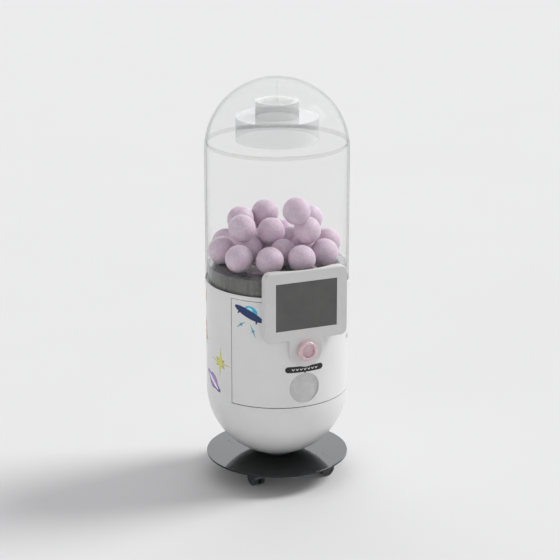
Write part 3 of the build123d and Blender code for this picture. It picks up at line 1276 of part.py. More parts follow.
# ---------------------------------------------------------------- write the pieces
PIECES = {
    "base_disc": base_disc,
    "mount_boss": mount_boss,
    "ballast_weight": ballast_weight,
    "caster_plates": caster_plates,
    "frame_fasteners": frame_fasteners,
    "body_shell": body_shell,
    "equipment_shelf": equipment_shelf,
    "cable_gland": cable_gland,
    "top_collar": top_collar,
    "clear_tube": clear_tube,
    "dome": dome,
    "dome_seal": dome_seal,
    "lamp_lower_cup": lamp_lower_cup,
    "lamp_upper_cup": lamp_upper_cup,
    "led_board": led_board,
    "lamp_rod": lamp_rod,
    "hopper_ring": hopper_ring,
    "hopper_floor": hopper_floor,
    "dispensing_wheel": dispensing_wheel,
    "wheel_floor": wheel_floor,
    "floor_posts": floor_posts,
    "bearing_housing": bearing_housing,
    "shaft_bearings": shaft_bearings,
    "wheel_shaft": wheel_shaft,
    "wheel_gear": wheel_gear,
    "motor_pinion": motor_pinion,
    "motor_bracket": motor_bracket,
    "gearmotor": gearmotor,
    "chute": chute,
    "prize_bin": prize_bin,
    "door_shell": door_shell,
    "door_rails": door_rails,
    "hinge_pins": hinge_pins,
    "lock_barrel": lock_barrel,
    "lock_core": lock_core,
    "door_nuts": door_nuts,
    "lock_keeper": lock_keeper,
    "prize_flap": prize_flap,
    "flap_brackets": flap_brackets,
    "flap_spring": flap_spring,
    "label_plate": label_plate,
    "screen_housing": screen_housing,
    "screen_back_cover": screen_back_cover,
    "screen_glass": screen_glass,
    "lcd_module": lcd_module,
    "button_bezel": button_bezel,
    "button_plunger": button_plunger,
    "button_switch": button_switch,
    "power_supply": power_supply,
    "control_board": control_board,
}
PIECES.update(caster_parts)
PIECES.update(capsule_parts)

for name, piece in PIECES.items():
    piece.part.label = name
    export_step(piece.part, f"parts/{name}.step")
print(len(PIECES), "pieces;", POCKETS, "pockets;", len(pile), "capsules in the pile")
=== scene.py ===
"""Looks of the capsule toy vendor: finishes of its parts, stickers, lamp parts, board parts and the studio."""
from math import cos, pi, radians, sin

import bmesh
import bpy
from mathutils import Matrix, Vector


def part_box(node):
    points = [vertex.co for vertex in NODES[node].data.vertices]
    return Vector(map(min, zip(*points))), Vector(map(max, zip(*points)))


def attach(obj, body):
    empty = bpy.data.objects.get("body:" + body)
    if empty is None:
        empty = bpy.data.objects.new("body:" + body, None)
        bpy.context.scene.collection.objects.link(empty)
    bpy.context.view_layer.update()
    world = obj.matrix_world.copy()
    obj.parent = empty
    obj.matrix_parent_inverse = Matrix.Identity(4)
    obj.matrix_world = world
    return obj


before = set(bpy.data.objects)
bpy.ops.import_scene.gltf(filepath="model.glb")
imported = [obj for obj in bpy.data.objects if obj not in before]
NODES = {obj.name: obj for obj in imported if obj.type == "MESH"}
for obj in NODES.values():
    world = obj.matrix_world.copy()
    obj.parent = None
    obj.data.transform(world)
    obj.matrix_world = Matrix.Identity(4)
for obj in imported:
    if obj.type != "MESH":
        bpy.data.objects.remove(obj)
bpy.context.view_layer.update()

MM = 0.001


# ---------------------------------------------------------------- helpers
def srgb(code, alpha=1.0):
    """Linear colour of an sRGB hex value."""
    parts = [int(code[i : i + 2], 16) / 255 for i in (0, 2, 4)]
    linear = [c / 12.92 if c <= 0.04045 else ((c + 0.055) / 1.055) ** 2.4 for c in parts]
    return (*linear, alpha)


def add(tree, kind, props=None, **inputs):
    """Adds a node with its settings. An input is named by its label, or by its number as n0, n1 and so on."""
    node = tree.nodes.new(kind)
    for key, value in (props or {}).items():
        setattr(node, key, value)
    for key, value in inputs.items():
        numbered = key[0] == "n" and key[1:].isdigit()
        socket = node.inputs[int(key[1:]) if numbered else key.replace("_", " ")]
        if isinstance(value, bpy.types.NodeSocket):
            tree.links.new(value, socket)
        else:
            socket.default_value = value
    return node


def per_metre(size_mm):
    """Scale of a noise pattern whose features are this far apart."""
    return 1.0 / (size_mm * MM)


def noise(tree, size_mm, stretch=(1, 1, 1), detail=3.0, rough=0.55):
    """Noise between 0 and 1 in the piece's own coordinates, with features this many millimetres apart."""
    place = add(tree, "ShaderNodeTexCoord").outputs["Object"]
    stretched = add(tree, "ShaderNodeMapping", n0=place, Scale=stretch).outputs[0]
    scale = per_metre(size_mm)
    return add(tree, "ShaderNodeTexNoise", Vector=stretched, Scale=scale, Detail=detail, Roughness=rough).outputs[0]


def spread(tree, value, low, high, from_low=0.3, from_high=0.7):
    """Takes a noise value to a range of numbers."""
    ranges = {"From Min": from_low, "From Max": from_high, "To Min": low, "To Max": high}
    node = add(tree, "ShaderNodeMapRange", n0=value)
    for key, number in ranges.items():
        node.inputs[key].default_value = number
    return node.outputs[0]


def blend(tree, share, first, second):
    """A colour between two, by a share from 0 to 1."""
    return add(tree, "ShaderNodeMix", {"data_type": "RGBA"}, n0=share, n6=first, n7=second).outputs[2]


def new_material(name):
    material = bpy.data.materials.new(name)
    material.use_nodes = True
    tree = material.node_tree
    tree.nodes.clear()
    return material, tree, add(tree, "ShaderNodeOutputMaterial")


def finish_of(
    name,
    colour,
    second,
    mottle_mm,
    roughness,
    grain_mm,
    grain_um,
    rough_spread=0.04,
    stretch=(1, 1, 1),
    **principled,
):
    """A surface with two close colours that drift, roughness that drifts, and a bump of a real size."""
    material, tree, out = new_material(name)
    drift = spread(tree, noise(tree, mottle_mm, stretch), 0.0, 1.0)
    grain = noise(tree, grain_mm, stretch, detail=2.0)
    haze = noise(tree, mottle_mm * 0.37, stretch)
    rough = spread(tree, haze, roughness - rough_spread, roughness + rough_spread)
    bump = add(tree, "ShaderNodeBump", Height=grain, Strength=1.0, Distance=grain_um * 1e-6)
    shader = add(
        tree,
        "ShaderNodeBsdfPrincipled",
        Base_Color=blend(tree, drift, srgb(colour), srgb(second)),
        Roughness=rough,
        Normal=bump.outputs[0],
    )
    for key, value in principled.items():
        shader.inputs[key.replace("_", " ")].default_value = value
    tree.links.new(shader.outputs[0], out.inputs[0])
    return material


# ---------------------------------------------------------------- finishes
M = {}
# Injection-moulded ABS, polished and clear-coated: nearly even white, soft wide highlight, faint orange peel.
M["shell"] = finish_of(
    "gloss_white_abs", "D6D6D5", "D2D2D1", 90, 0.34, 7.0, 14,
    Specular_IOR_Level=0.42, Coat_Weight=0.25, Coat_Roughness=0.12,
)
# The same plastic with a spark-eroded mould texture: finer, duller, it shows as a soft even sheen.
M["panel"] = finish_of("satin_white_abs", "CAC9C8", "C6C5C4", 60, 0.48, 1.6, 12, Specular_IOR_Level=0.4)
# Inner mouldings in natural ABS, a little creamy and unpolished.
M["moulding"] = finish_of("natural_abs_moulding", "DEDDD8", "D5D4CE", 40, 0.5, 2.0, 18)
# Flap: fine moulded grain, light grey, with slight rub marks where fingers push.
M["flap"] = finish_of("grained_grey_abs_flap", "C0C0BF", "B4B4B3", 22, 0.42, 1.5, 30, rough_spread=0.07)
# Bezel and plunger: candy pink ABS with some depth of colour.
M["pink"] = finish_of(
    "gloss_pink_abs", "D6BCC2", "C4A6AE", 14, 0.3, 3.0, 10, Coat_Weight=0.4, Coat_Roughness=0.1,
    Subsurface_Weight=0.12, Subsurface_Scale=0.004,
)
# Screen-printed plate: gloss black, it mirrors softly.
M["label"] = finish_of("gloss_black_print", "0B0B0B", "141414", 12, 0.22, 2.0, 6)
# Moulded nylon of the casters and small housings: black with a waxy sheen.
M["nylon"] = finish_of(
    "black_moulded_nylon", "17181A", "1F2022", 8, 0.28, 1.2, 14, Coat_Weight=0.5, Coat_Roughness=0.08,
)
# Polyurethane wheels, worn to a soft grey where they roll.
M["tyre"] = finish_of("grey_polyurethane_tread", "2A2B2D", "3B3C3E", 5, 0.5, 1.0, 30)
# Zinc-plated steel: bright, slightly blue, with cloudy patches from the bath.
M["zinc"] = finish_of(
    "zinc_plated_steel", "B9BDC2", "A2A6AC", 9, 0.3, 1.2, 8, rough_spread=0.08, Metallic=1.0,
)
# Powder coat over steel sheet: mid grey with a fine orange peel.
M["powder"] = finish_of("grey_powder_coat", "55585C", "4E5155", 30, 0.55, 1.8, 40)
# Chrome-plated die casting of the lock's plug: a bright mirror.
M["chrome"] = finish_of(
    "chrome_plated_zinc", "D9DADC", "CDCFD2", 12, 0.1, 4.0, 4, rough_spread=0.03, Metallic=1.0,
)
# Sand-cast iron of the ballast, rough and dark.
M["iron"] = finish_of("sand_cast_iron", "2B2A29", "3A3836", 6, 0.75, 2.5, 160, Metallic=0.6)
# Natural acetal of the gear, milky and waxy.
M["acetal"] = finish_of(
    "natural_acetal", "E2DFD2", "D8D4C6", 10, 0.38, 1.0, 10, Subsurface_Weight=0.15, Subsurface_Scale=0.003,
)
# Glass-epoxy board under green solder mask: deep green, satin.
M["board"] = finish_of("green_solder_mask", "0E4A2B", "0A3D23", 4, 0.35, 0.8, 12)
# Phosphor window of an LED, unlit: yellow wax.
M["phosphor"] = finish_of("led_phosphor", "E9D46A", "E0C955", 1.5, 0.4, 0.5, 6)
# Moulded epoxy of chips and vents: matt black.
M["epoxy"] = finish_of("black_epoxy_package", "1B1B1C", "242425", 2.0, 0.6, 0.6, 12)
# Aluminium can of a capacitor, brushed upwards.
M["can"] = finish_of(
    "brushed_aluminium_can", "C3C5C8", "B2B4B8", 2.0, 0.35, 0.6, 8, Metallic=1.0, stretch=(1, 1, 0.1),
)

EDGE_LINE_POWER = 12.0  # the higher, the thinner the dark line at the wall's edge
MIRROR_POWER = 5.0  # how fast the mirror image grows towards the edge, as in Schlick's curve


def clear_plastic(name, head_on, edge_on, haze, gloss):
    """Clear plastic: seen straight through, with a darker line where the view runs along the wall.

    Haze is the share of surface seen head-on, and gloss is what the share grows by towards the edge.
    """
    material, tree, out = new_material(name)
    facing = add(tree, "ShaderNodeLayerWeight", Blend=0.5).outputs["Facing"]
    edge = add(tree, "ShaderNodeMath", {"operation": "POWER"}, n0=facing, n1=EDGE_LINE_POWER).outputs[0]
    mirror = add(tree, "ShaderNodeMath", {"operation": "POWER"}, n0=facing, n1=MIRROR_POWER).outputs[0]
    share = add(tree, "ShaderNodeMath", {"operation": "MULTIPLY_ADD"}, n0=mirror, n1=gloss, n2=haze).outputs[0]
    tint = blend(tree, edge, srgb(head_on), srgb(edge_on))
    through = add(tree, "ShaderNodeBsdfTransparent", Color=tint)
    ripple = noise(tree, 120, detail=1.0)
    bump = add(tree, "ShaderNodeBump", Height=ripple, Strength=1.0, Distance=40e-6)
    skin = add(
        tree,
        "ShaderNodeBsdfPrincipled",
        Base_Color=srgb("E4E8E6"),
        Roughness=0.04,
        IOR=1.49,
        Normal=bump.outputs[0],
        Specular_IOR_Level=1.0,
    )
    mixed = add(tree, "ShaderNodeMixShader", n0=share, n1=through.outputs[0], n2=skin.outputs[0])
    tree.links.new(mixed.outputs[0], out.inputs[0])
    return material


# Cast acrylic of the tube and the dome: colourless, with a slightly green line at the edges.
M["acrylic"] = clear_plastic("clear_cast_acrylic", "FDFDFD", "7C7E70", 0.014, 0.28)
# Sandblasted acrylic of the lamp's cups: milky, it takes light and still shows what is behind.
M["lamp"] = clear_plastic("frosted_grey_acrylic", "FCFCFC", "DCDEE0", 0.26, 0.25)
# White solder mask of the lamp's board: satin, warm white.
M["led_board"] = finish_of("white_solder_mask", "E8E8E2", "DFDFD8", 6, 0.4, 1.0, 10)
# Extruded clear silicone: the seam shows only as a thin grey line.
M["seal"] = clear_plastic("clear_silicone_seal", "F8F8F7", "B4B5B0", 0.02, 0.1)


def capsule_plastic():
    """Blow-moulded polypropylene, matt and waxy, with lilac and grey blotches where the wall is thin."""
    material, tree, out = new_material("matt_lilac_polypropylene")
    large = spread(tree, noise(tree, 34, detail=4.0, rough=0.6), 0.0, 1.0, 0.35, 0.65)
    small = spread(tree, noise(tree, 7, detail=3.0, rough=0.6), 0.0, 1.0, 0.45, 0.75)
    base = blend(tree, large, srgb("DAC6D4"), srgb("CDB8C8"))
    flecked = blend(tree, small, base, srgb("C2ACBB"))
    bump = add(tree, "ShaderNodeBump", Height=noise(tree, 5.0, detail=3.0), Strength=1.0, Distance=180e-6)
    shader = add(
        tree,
        "ShaderNodeBsdfPrincipled",
        Base_Color=flecked,
        Roughness=spread(tree, large, 0.5, 0.62, 0.0, 1.0),
        Normal=bump.outputs[0],
        Subsurface_Weight=0.2,
        Subsurface_Scale=0.006,
        Specular_IOR_Level=0.35,
    )
    tree.links.new(shader.outputs[0], out.inputs[0])
    return material


M["capsule"] = capsule_plastic()


def drum_plastic():
    """Thermoformed dark grey acrylic, rubbed lengthwise: upright streaks in gloss, and lighter upright streaks in tone
    that are painted reflections.
    """
    material, tree, out = new_material("rubbed_dark_acrylic_painted_reflection_streaks")
    gloss_streak_and_painted_reflection = spread(tree, noise(tree, 30, stretch=(1, 1, 0.05), detail=4.0), 0.0, 1.0, 0.35, 0.65)
    fine = noise(tree, 3.0, stretch=(1, 1, 0.05), detail=2.0)
    bump = add(tree, "ShaderNodeBump", Height=fine, Strength=1.0, Distance=25e-6)
    shader = add(
        tree,
        "ShaderNodeBsdfPrincipled",
        # lighter upright streaks in the base colour are painted reflections; the same noise in roughness below gives
        # real gloss streaks
        Base_Color=blend(tree, gloss_streak_and_painted_reflection, srgb("434341"), srgb("636360")),
        Roughness=spread(tree, gloss_streak_and_painted_reflection, 0.22, 0.4, 0.0, 1.0),
        Normal=bump.outputs[0],
        Coat_Weight=0.5,
        Coat_Roughness=0.1,
    )
    tree.links.new(shader.outputs[0], out.inputs[0])
    return material


M["drum"] = drum_plastic()


def disc_plastic():
    """Black acrylic face bonded to the board: a dark mirror with a few hair scratches and a little dust."""
    material, tree, out = new_material("mirror_black_acrylic")
    dust = spread(tree, noise(tree, 26, detail=5.0, rough=0.65), 0.0, 1.0, 0.5, 0.8)
    hair = noise(tree, 9.0, stretch=(1, 0.12, 1), detail=4.0, rough=0.7)
    bump = add(tree, "ShaderNodeBump", Height=hair, Strength=1.0, Distance=4e-6)
    shader = add(
        tree,
        "ShaderNodeBsdfPrincipled",
        Base_Color=blend(tree, dust, srgb("0A0B0C"), srgb("15161A")),
        Roughness=spread(tree, dust, 0.05, 0.12, 0.0, 1.0),
        Normal=bump.outputs[0],
        IOR=1.44,
        Specular_IOR_Level=0.5,
        Specular_Tint=srgb("F4FAFF"),
    )
    tree.links.new(shader.outputs[0], out.inputs[0])
    return material


M["disc"] = disc_plastic()


def screen_glass():
    """Anti-glare display glass over a dark panel: an even warm grey with a soft, spread-out reflection."""
    material, tree, out = new_material("anti_glare_display_glass")
    cloud = spread(tree, noise(tree, 70, detail=2.0), 0.0, 1.0)
    sparkle = noise(tree, 1.2, detail=1.0)
    bump = add(tree, "ShaderNodeBump", Height=sparkle, Strength=1.0, Distance=6e-6)
    shader = add(
        tree,
        "ShaderNodeBsdfPrincipled",
        Base_Color=blend(tree, cloud, srgb("4E4E4D"), srgb("565655")),
        Roughness=0.38,
        Normal=bump.outputs[0],
        Specular_IOR_Level=0.4,
    )
    tree.links.new(shader.outputs[0], out.inputs[0])
    return material


M["screen"] = screen_glass()


def vinyl(name, code):
    """Printed vinyl under a satin laminate, with the ink's slight mottle."""
    darker = "%02X%02X%02X" % tuple(int(int(code[i : i + 2], 16) * 0.9) for i in (0, 2, 4))
    return finish_of(name, code, darker, 5, 0.36, 1.0, 8)


for ink, code in {
    "navy": "0C2C64",
    "cyan": "35B4D6",
    "pale_cyan": "A6E4EE",
    "teal": "3A9CB4",
    "yellow": "DAD767",
    "olive": "7B7A3A",
    "purple": "A884CC",
    "violet": "6E4AA0",
    "orange": "E08A3C",
    "rust": "B4552A",
    "green": "8FB84A",
    "white": "F0F0EE",
}.items():
    M[ink] = vinyl(f"printed_vinyl_{ink}", code)

FINISH = {
    "shell": ["body_shell", "top_collar", "door_shell"],
    "panel": ["screen_housing", "screen_back_cover", "lock_barrel"],
    "moulding": ["dispensing_wheel", "chute", "prize_bin", "flap_brackets"],
    "acrylic": ["clear_tube", "dome", "lamp_rod"],
    "lamp": ["lamp_lower_cup", "lamp_upper_cup"],
    "led_board": ["led_board"],
    "drum": ["hopper_ring", "hopper_floor"],
    "disc": ["base_disc"],
    "screen": ["screen_glass"],
    "capsule": ["capsules", "pocket_capsules"],
    "flap": ["prize_flap"],
    "pink": ["button_bezel", "button_plunger"],
    "label": ["label_plate"],
    "nylon": ["cable_gland", "button_switch", "lcd_module"],
    "zinc": [
        "caster_plates", "frame_fasteners", "floor_posts", "shaft_bearings", "wheel_shaft", "motor_pinion",
        "motor_bracket", "hinge_pins", "door_nuts", "lock_keeper", "flap_spring", "power_supply",
    ],
    "powder": ["mount_boss", "equipment_shelf", "wheel_floor", "bearing_housing", "gearmotor", "door_rails"],
    "chrome": ["lock_core"],
    "iron": ["ballast_weight"],
    "acetal": ["wheel_gear"],
    "board": ["control_board"],
    "seal": ["dome_seal"],
}
CASTERS = ["front_left", "front_right", "rear_left", "rear_right"]
FINISH["nylon"] += [f"caster_hood_{name}" for name in CASTERS]
FINISH["tyre"] = [f"caster_wheels_{name}" for name in CASTERS]
for finish, names in FINISH.items():
    for name in names:
        if not NODES[name].material_slots:
            NODES[name].data.materials.append(M[finish])
        for slot in NODES[name].material_slots:
            slot.material = M[finish]


# ---------------------------------------------------------------- stickers on the round body
BODY_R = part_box("clear_tube")[1][0]
FILM = 0.12 * MM  # one layer of vinyl
STEP = 3 * MM  # cuts that let a flat shape bend round the body
SAME_POINT = 1e-6
LAYER_GAP = 0.3  # lowest layer's height off the body, as a share of a film


def ellipse(across, up, x=0.0, y=0.0, count=40, start=0.0, stop=360.0):
    """Points of an ellipse or of an arc of it, in millimetres."""
    span = stop - start
    last = count if span >= 360 else count + 1
    angles = [radians(start + span * i / count) for i in range(last)]
    return [(x + across * cos(a), y + up * sin(a)) for a in angles]


def star(tips, waist, lean=0.0, x=0.0, y=0.0):
    """A star with tips of these lengths, first tip up, and a waist between them."""
    points = []
    for i, length in enumerate(tips):
        a = radians(lean + 360 * i / len(tips))
        b = a + pi / len(tips)
        points += [(x - length * sin(a), y + length * cos(a)), (x - waist * sin(b), y + waist * cos(b))]
    return points


def sticker(name, body, bearing, height_mm, turn, layers, radius=BODY_R):
    """Vinyl shapes laid on the body. Layers are (outline in mm, ink), each on top of the one before."""
    mesh = bmesh.new()
    inks = []
    for level, (outline, ink) in enumerate(layers):
        if ink not in inks:
            inks.append(ink)
        piece = bmesh.new()
        c, s = cos(radians(turn)), sin(radians(turn))
        turned = [(px * c - py * s, px * s + py * c) for px, py in outline]
        corners = [piece.verts.new((px * MM, py * MM, 0)) for px, py in turned]
        piece.faces.new(corners)
        piece.normal_update()
        bmesh.ops.triangulate(piece, faces=piece.faces[:], ngon_method="EAR_CLIP")
        low = min(v.co.x for v in piece.verts)
        high = max(v.co.x for v in piece.verts)
        at = low + STEP
        while at < high:
            geometry = piece.verts[:] + piece.edges[:] + piece.faces[:]
            bmesh.ops.bisect_plane(piece, geom=geometry, plane_co=(at, 0, 0), plane_no=(1, 0, 0), dist=SAME_POINT)
            at += STEP
        bmesh.ops.dissolve_degenerate(piece, edges=piece.edges[:], dist=SAME_POINT)
        piece.normal_update()
        if sum(f.normal.z * f.calc_area() for f in piece.faces) < 0:
            bmesh.ops.reverse_faces(piece, faces=piece.faces[:])
        solid = bmesh.ops.extrude_face_region(piece, geom=piece.faces[:])
        for item in solid["geom"]:
            if isinstance(item, bmesh.types.BMVert):
                item.co.z = FILM
        bmesh.ops.recalc_face_normals(piece, faces=piece.faces[:])
        for f in piece.faces:
            f.material_index = inks.index(ink)
        lift = FILM * (level + LAYER_GAP)
        for v in piece.verts:
            angle = radians(bearing) + v.co.x / radius
            r = radius + lift + v.co.z
            v.co = (r * sin(angle), -r * cos(angle), height_mm * MM + v.co.y)
        part = bpy.data.meshes.new(name)
        piece.to_mesh(part)
        piece.free()
        mesh.from_mesh(part)
        bpy.data.meshes.remove(part)
    data = bpy.data.meshes.new(name)
    mesh.to_mesh(data)
    mesh.free()
    obj = bpy.data.objects.new(name, data)
    bpy.context.scene.collection.objects.link(obj)
    for ink in inks:
        data.materials.append(M[ink])
    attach(obj, body)
    return obj


def grown(outline, share):
    """The outline made larger about its own middle."""
    cx = sum(px for px, py in outline) / len(outline)
    cy = sum(py for px, py in outline) / len(outline)
    return [(cx + (px - cx) * share, cy + (py - cy) * share) for px, py in outline]


def wide(outline, share):
    """The outline stretched round the body."""
    return [(px * share, py) for px, py in outline]


saucer_hull = ellipse(62, 15, 0, -4)
saucer_brim = ellipse(60, 9, 0, -1)
saucer_cabin = ellipse(29, 25, 3, 3, start=0, stop=180)
cabin_shine = ellipse(12, 9, -3, 12, count=24)
left_foot = [(-40, -12), (-33, -15), (-37, -25), (-42, -24)]
right_foot = [(34, -15), (41, -12), (44, -24), (39, -25)]
sticker(
    "sticker_saucer", "door", -44.9, 709, -25,
    [(left_foot, "navy"), (right_foot, "navy"), (saucer_cabin, "cyan"), (cabin_shine, "pale_cyan"),
     (saucer_hull, "navy"), (saucer_brim, "navy")],
)
sticker("sticker_spark_left", "door", -52.0, 662, 0, [(star((9, 26, 9, 22), 4.0, 35), "teal")])
sticker("sticker_spark_right", "door", -41.6, 641, 0, [(star((30, 9, 27, 9), 4.0, 22), "teal")])
big_star = wide(star((58, 36, 56, 36), 7), 1.5)
small_star = wide(star((20, 18, 20, 18), 7, 45), 1.5)
sticker(
    "sticker_star", "root", -74.6, 489, -4,
    [(grown(big_star, 1.05), "olive"), (grown(small_star, 1.25), "olive"),
     (big_star, "yellow"), (small_star, "yellow")],
)
globe = ellipse(27, 27)
ring_outer = ellipse(48, 14, 0, -2)
ring_inner = ellipse(37, 7, 0, -2)
globe_cap = ellipse(24, 24, 0, 2, start=8, stop=172)
sticker(
    "sticker_planet", "root", -85.6, 405, -30,
    [(wide(shape, 1.25), ink) for shape, ink in (
        (globe, "violet"), (ellipse(24, 24), "purple"), (ring_outer, "violet"), (ring_inner, "white"),
        (globe_cap, "purple"),
    )],
)
rocket = [
    (0, 44), (10, 30), (13, 10), (13, -14), (24, -30), (10, -27),
    (0, -36), (-10, -27), (-24, -30), (-13, -14), (-13, 10), (-10, 30),
]
sticker(
    "sticker_rocket", "root", -104.5, 574, 12,
    [(grown(rocket, 1.1), "rust"), (rocket, "orange"), (ellipse(7, 7, 0, 10, count=24), "white"),
     ([(-8, -30), (0, -52), (8, -30)], "green")],
)
sticker(
    "sticker_comet", "root", -105.5, 703, 20,
    [([(-8, 4), (30, 34), (6, -8)], "rust"), (ellipse(15, 15, -4, -4, count=30), "orange"),
     (ellipse(6, 6, -7, 0, count=20), "yellow")],
)
CHEVRONS = 7
CHEVRON_SPACING = 15
marks = []
for i in range(CHEVRONS):
    x = CHEVRON_SPACING * (i - (CHEVRONS - 1) / 2)
    marks.append(([(x - 5, 4), (x, -1), (x + 5, 4), (x + 5, 0.5), (x, -4.5), (x - 5, 0.5)], "white"))
PLATE_HALF_HEIGHT = 11.5  # mm, without the pointer under it
PLATE_FACE_R = BODY_R + 0.82 * MM
label_top_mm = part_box("label_plate")[1][2] / MM
sticker(
    "label_chevrons", "door", 0, label_top_mm - PLATE_HALF_HEIGHT, 0, marks, radius=PLATE_FACE_R
)


# ---------------------------------------------------------------- what repeats, by geometry nodes
def grow_by_tree(name, body, material, build, values):
    """Runs a tree that builds a mesh from named sizes, keeps the plain mesh and rides it on a body."""
    tree = bpy.data.node_groups.new(name, "GeometryNodeTree")
    tree.interface.new_socket("Geometry", in_out="INPUT", socket_type="NodeSocketGeometry")
    sockets = {
        key: tree.interface.new_socket(
            key, in_out="INPUT", socket_type="NodeSocketInt" if isinstance(value, int) else "NodeSocketFloat"
        ).identifier
        for key, value in values.items()
    }
    tree.interface.new_socket("Geometry", in_out="OUTPUT", socket_type="NodeSocketGeometry")
    group_in = add(tree, "NodeGroupInput")
    made = build(tree, group_in.outputs)
    real = add(tree, "GeometryNodeRealizeInstances", Geometry=made)
    painted = add(tree, "GeometryNodeSetMaterial", Geometry=real.outputs[0], Material=material)
    add(tree, "NodeGroupOutput", n0=painted.outputs[0])
    maker = bpy.data.objects.new(name + "_maker", bpy.data.meshes.new(name + "_maker"))
    bpy.context.scene.collection.objects.link(maker)
    modifier = maker.modifiers.new(name, "NODES")
    modifier.node_group = tree
    for key, value in values.items():
        modifier[sockets[key]] = value
    graph = bpy.context.evaluated_depsgraph_get()
    made_mesh = maker.evaluated_get(graph)
    data = bpy.data.meshes.new_from_object(made_mesh, preserve_all_data_layers=True, depsgraph=graph)
    maker.modifiers.remove(modifier)
    bpy.data.objects.remove(maker)
    obj = bpy.data.objects.new(name, data)
    bpy.context.scene.collection.objects.link(obj)
    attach(obj, body)
    return obj


def ring_of_boxes(tree, given):
    """Small boxes spaced evenly on a circle."""
    circle = add(tree, "GeometryNodeMeshCircle", Vertices=given["Count"], Radius=given["Circle radius"])
    size = add(tree, "ShaderNodeCombineXYZ", n0=given["Side"], n1=given["Side"], n2=given["Height"])
    box = add(tree, "GeometryNodeMeshCube", Size=size.outputs[0])
    turn = add(tree, "ShaderNodeCombineXYZ", n2=0.0)
    order = add(tree, "GeometryNodeInputIndex")
    step = add(tree, "ShaderNodeMath", {"operation": "DIVIDE"}, n0=2 * pi, n1=given["Count"])
    angle = add(tree, "ShaderNodeMath", {"operation": "MULTIPLY"}, n0=order.outputs[0], n1=step.outputs[0])
    tree.links.new(angle.outputs[0], turn.inputs[2])
    placed = add(
        tree, "GeometryNodeInstanceOnPoints",
        Points=circle.outputs[0], Instance=box.outputs[0], Rotation=turn.outputs[0],
    )
    shift = add(tree, "ShaderNodeCombineXYZ", n2=given["Middle height"])
    return add(tree, "GeometryNodeTransform", Geometry=placed.outputs[0], Translation=shift.outputs[0]).outputs[0]


def grid_of_discs(tree, given):
    """Short round studs in rows and columns."""
    grid = add(
        tree, "GeometryNodeMeshGrid", Size_X=given["Length X"], Size_Y=given["Length Y"],
        Vertices_X=given["Count X"], Vertices_Y=given["Count Y"],
    )
    stud = add(tree, "GeometryNodeMeshCylinder", Vertices=given["Sides"], Radius=given["Radius"], Depth=given["Height"])
    turn = add(tree, "ShaderNodeCombineXYZ", n2=given["Turn"])
    placed = add(
        tree, "GeometryNodeInstanceOnPoints",
        Points=grid.outputs[0], Instance=stud.outputs[0], Rotation=turn.outputs[0],
    )
    shift = add(tree, "ShaderNodeCombineXYZ", n0=given["Middle X"], n1=given["Middle Y"], n2=given["Middle Z"])
    return add(tree, "GeometryNodeTransform", Geometry=placed.outputs[0], Translation=shift.outputs[0]).outputs[0]


board_low, board_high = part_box("led_board")
LED_HEIGHT = 0.9 * MM
LED_SIDE = 3.5 * MM
LED_GAP = 0.02 * MM  # under the board
LED_RINGS = ((24, 0.85), (12, 0.5))  # how many, and their circle as a share of the board
for index, (count, share) in enumerate(LED_RINGS):
    grow_by_tree(
        f"lamp_leds_{index + 1}", "dome", M["phosphor"], ring_of_boxes,
        {"Count": count, "Circle radius": board_high[0] * share, "Side": LED_SIDE, "Height": LED_HEIGHT,
         "Middle height": board_low[2] - LED_HEIGHT / 2 - LED_GAP},
    )

control_low, control_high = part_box("control_board")
supply_low, supply_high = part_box("power_supply")
VENT_RISE = 0.2 * MM
grow_by_tree(
    "supply_vents", "root", M["epoxy"], grid_of_discs,
    {"Length X": (supply_high[0] - supply_low[0]) * 0.7, "Length Y": (supply_high[1] - supply_low[1]) * 0.6,
     "Count X": 9, "Count Y": 12, "Sides": 12, "Radius": 2.2 * MM, "Height": 2 * VENT_RISE,
     "Middle X": (supply_low[0] + supply_high[0]) / 2, "Middle Y": (supply_low[1] + supply_high[1]) / 2,
     "Middle Z": supply_high[2], "Turn": 0.0},
)
BOARD_TOP = control_high[2]
CAN_HEIGHT = 11 * MM
CAN_SHIFT = 48 * MM  # from the board's middle towards its back edge
CHIP_HEIGHT = 1.6 * MM
board_x = (control_low[0] + control_high[0]) / 2
board_y = (control_low[1] + control_high[1]) / 2
grow_by_tree(
    "board_capacitors", "root", M["can"], grid_of_discs,
    {"Length X": 34 * MM, "Length Y": 14 * MM, "Count X": 4, "Count Y": 2, "Sides": 20, "Radius": 4 * MM,
     "Height": CAN_HEIGHT, "Middle X": board_x, "Middle Y": board_y + CAN_SHIFT,
     "Middle Z": BOARD_TOP + CAN_HEIGHT / 2, "Turn": 0.0},
)
grow_by_tree(
    "board_chips", "root", M["epoxy"], grid_of_discs,
    {"Length X": 44 * MM, "Length Y": 34 * MM, "Count X": 3, "Count Y": 2, "Sides": 4, "Radius": 9 * MM,
     "Height": CHIP_HEIGHT, "Middle X": board_x, "Middle Y": board_y, "Middle Z": BOARD_TOP + CHIP_HEIGHT / 2,
     "Turn": pi / 4},
)

# ---------------------------------------------------------------- studio
FLOOR_SIDE = 80  # m, so that its far edge is out of view
bpy.ops.mesh.primitive_plane_add(size=FLOOR_SIDE)
floor = bpy.context.object
floor.name = "studio_floor"
floor_material, floor_tree, floor_out = new_material("pale_studio_floor")
# Matt painted floor: pale grey with a very faint, wide cloud.
floor_cloud = spread(floor_tree, noise(floor_tree, 900, detail=2.0), 0.0, 1.0)
floor_colour = blend(floor_tree, floor_cloud, srgb("D6D6D6"), srgb("D5D5D5"))
floor_shader = add(
    floor_tree, "ShaderNodeBsdfPrincipled", Base_Color=floor_colour, Roughness=0.9, Specular_IOR_Level=0.1,
)
floor_tree.links.new(floor_shader.outputs[0], floor_out.inputs[0])
floor.data.materials.append(floor_material)

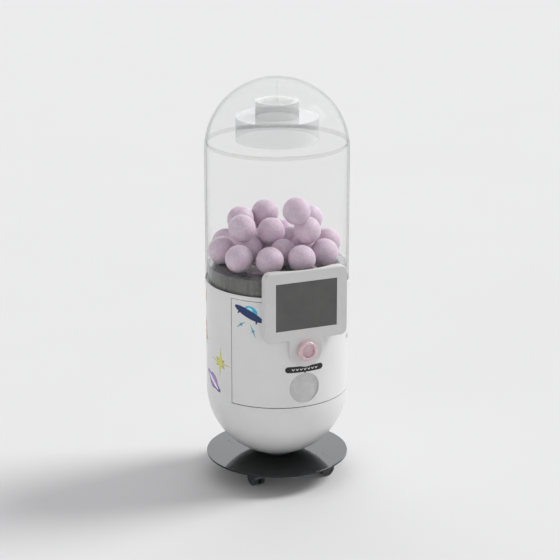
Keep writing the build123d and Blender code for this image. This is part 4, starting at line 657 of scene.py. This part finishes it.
world = bpy.data.worlds.new("soft_studio")
bpy.context.scene.world = world
world.use_nodes = True
sky = world.node_tree
sky.nodes.clear()
direction = add(sky, "ShaderNodeTexCoord").outputs["Generated"]
up = add(sky, "ShaderNodeSeparateXYZ", n0=direction).outputs[2]
HORIZON_LIGHT, TOP_LIGHT, TOP_FROM = 1.0, 0.42, 0.75
height = add(sky, "ShaderNodeMapRange", n0=up, n1=0.0, n2=TOP_FROM, n3=HORIZON_LIGHT, n4=TOP_LIGHT)
# a wide soft box low behind the machine, seen as the sheen on its base
BEHIND = (0.383, 0.924, 0.12)
BOX_EDGE, BOX_MIDDLE, BOX_LIGHT = 0.55, 0.95, 1.5
towards_box = add(sky, "ShaderNodeVectorMath", {"operation": "DOT_PRODUCT"}, n0=direction, n1=BEHIND)
box = add(
    sky, "ShaderNodeMapRange",
    n0=towards_box.outputs["Value"], n1=BOX_EDGE, n2=BOX_MIDDLE, n3=0.0, n4=BOX_LIGHT,
)
total = add(sky, "ShaderNodeMath", {"operation": "ADD"}, n0=height.outputs[0], n1=box.outputs[0])
backdrop = add(sky, "ShaderNodeBackground", Color=srgb("FDFDFF"), Strength=total.outputs[0])
add(sky, "ShaderNodeOutputWorld", Surface=backdrop.outputs[0])


def distant_light(name, energy, spread_degrees, towards):
    """A soft light from far away that shines in this direction."""
    data = bpy.data.lights.new(name, "SUN")
    data.energy = energy
    data.angle = radians(spread_degrees)
    light = bpy.data.objects.new(name, data)
    bpy.context.scene.collection.objects.link(light)
    light.rotation_mode = "QUATERNION"
    light.rotation_quaternion = Vector(towards).to_track_quat("-Z", "Y")


KEY_ELEVATION = radians(40)
distant_light("key_light", 2.6, 24, (-cos(KEY_ELEVATION), 0.03, -sin(KEY_ELEVATION)))
# faint and almost level, from the left: it opens up the underside of the body
distant_light("fill_light", 0.4, 30, (0.85, 0.5, -0.07))

cam_data = bpy.data.cameras.new("camera")
cam_data.lens = 125.67
cam_data.sensor_width = 36.0
cam_data.shift_x = 0.0054
camera = bpy.data.objects.new("camera", cam_data)
bpy.context.scene.collection.objects.link(camera)
camera.location = (-2.648, -6.392, 2.9685)
CAMERA_DOWN, CAMERA_ROUND = 17.73, -22.5  # degrees
camera.rotation_euler = (radians(90 - CAMERA_DOWN), 0, radians(CAMERA_ROUND))
cam_data.clip_end = 200
bpy.context.scene.camera = camera
bpy.context.scene.view_settings.view_transform = "Standard"
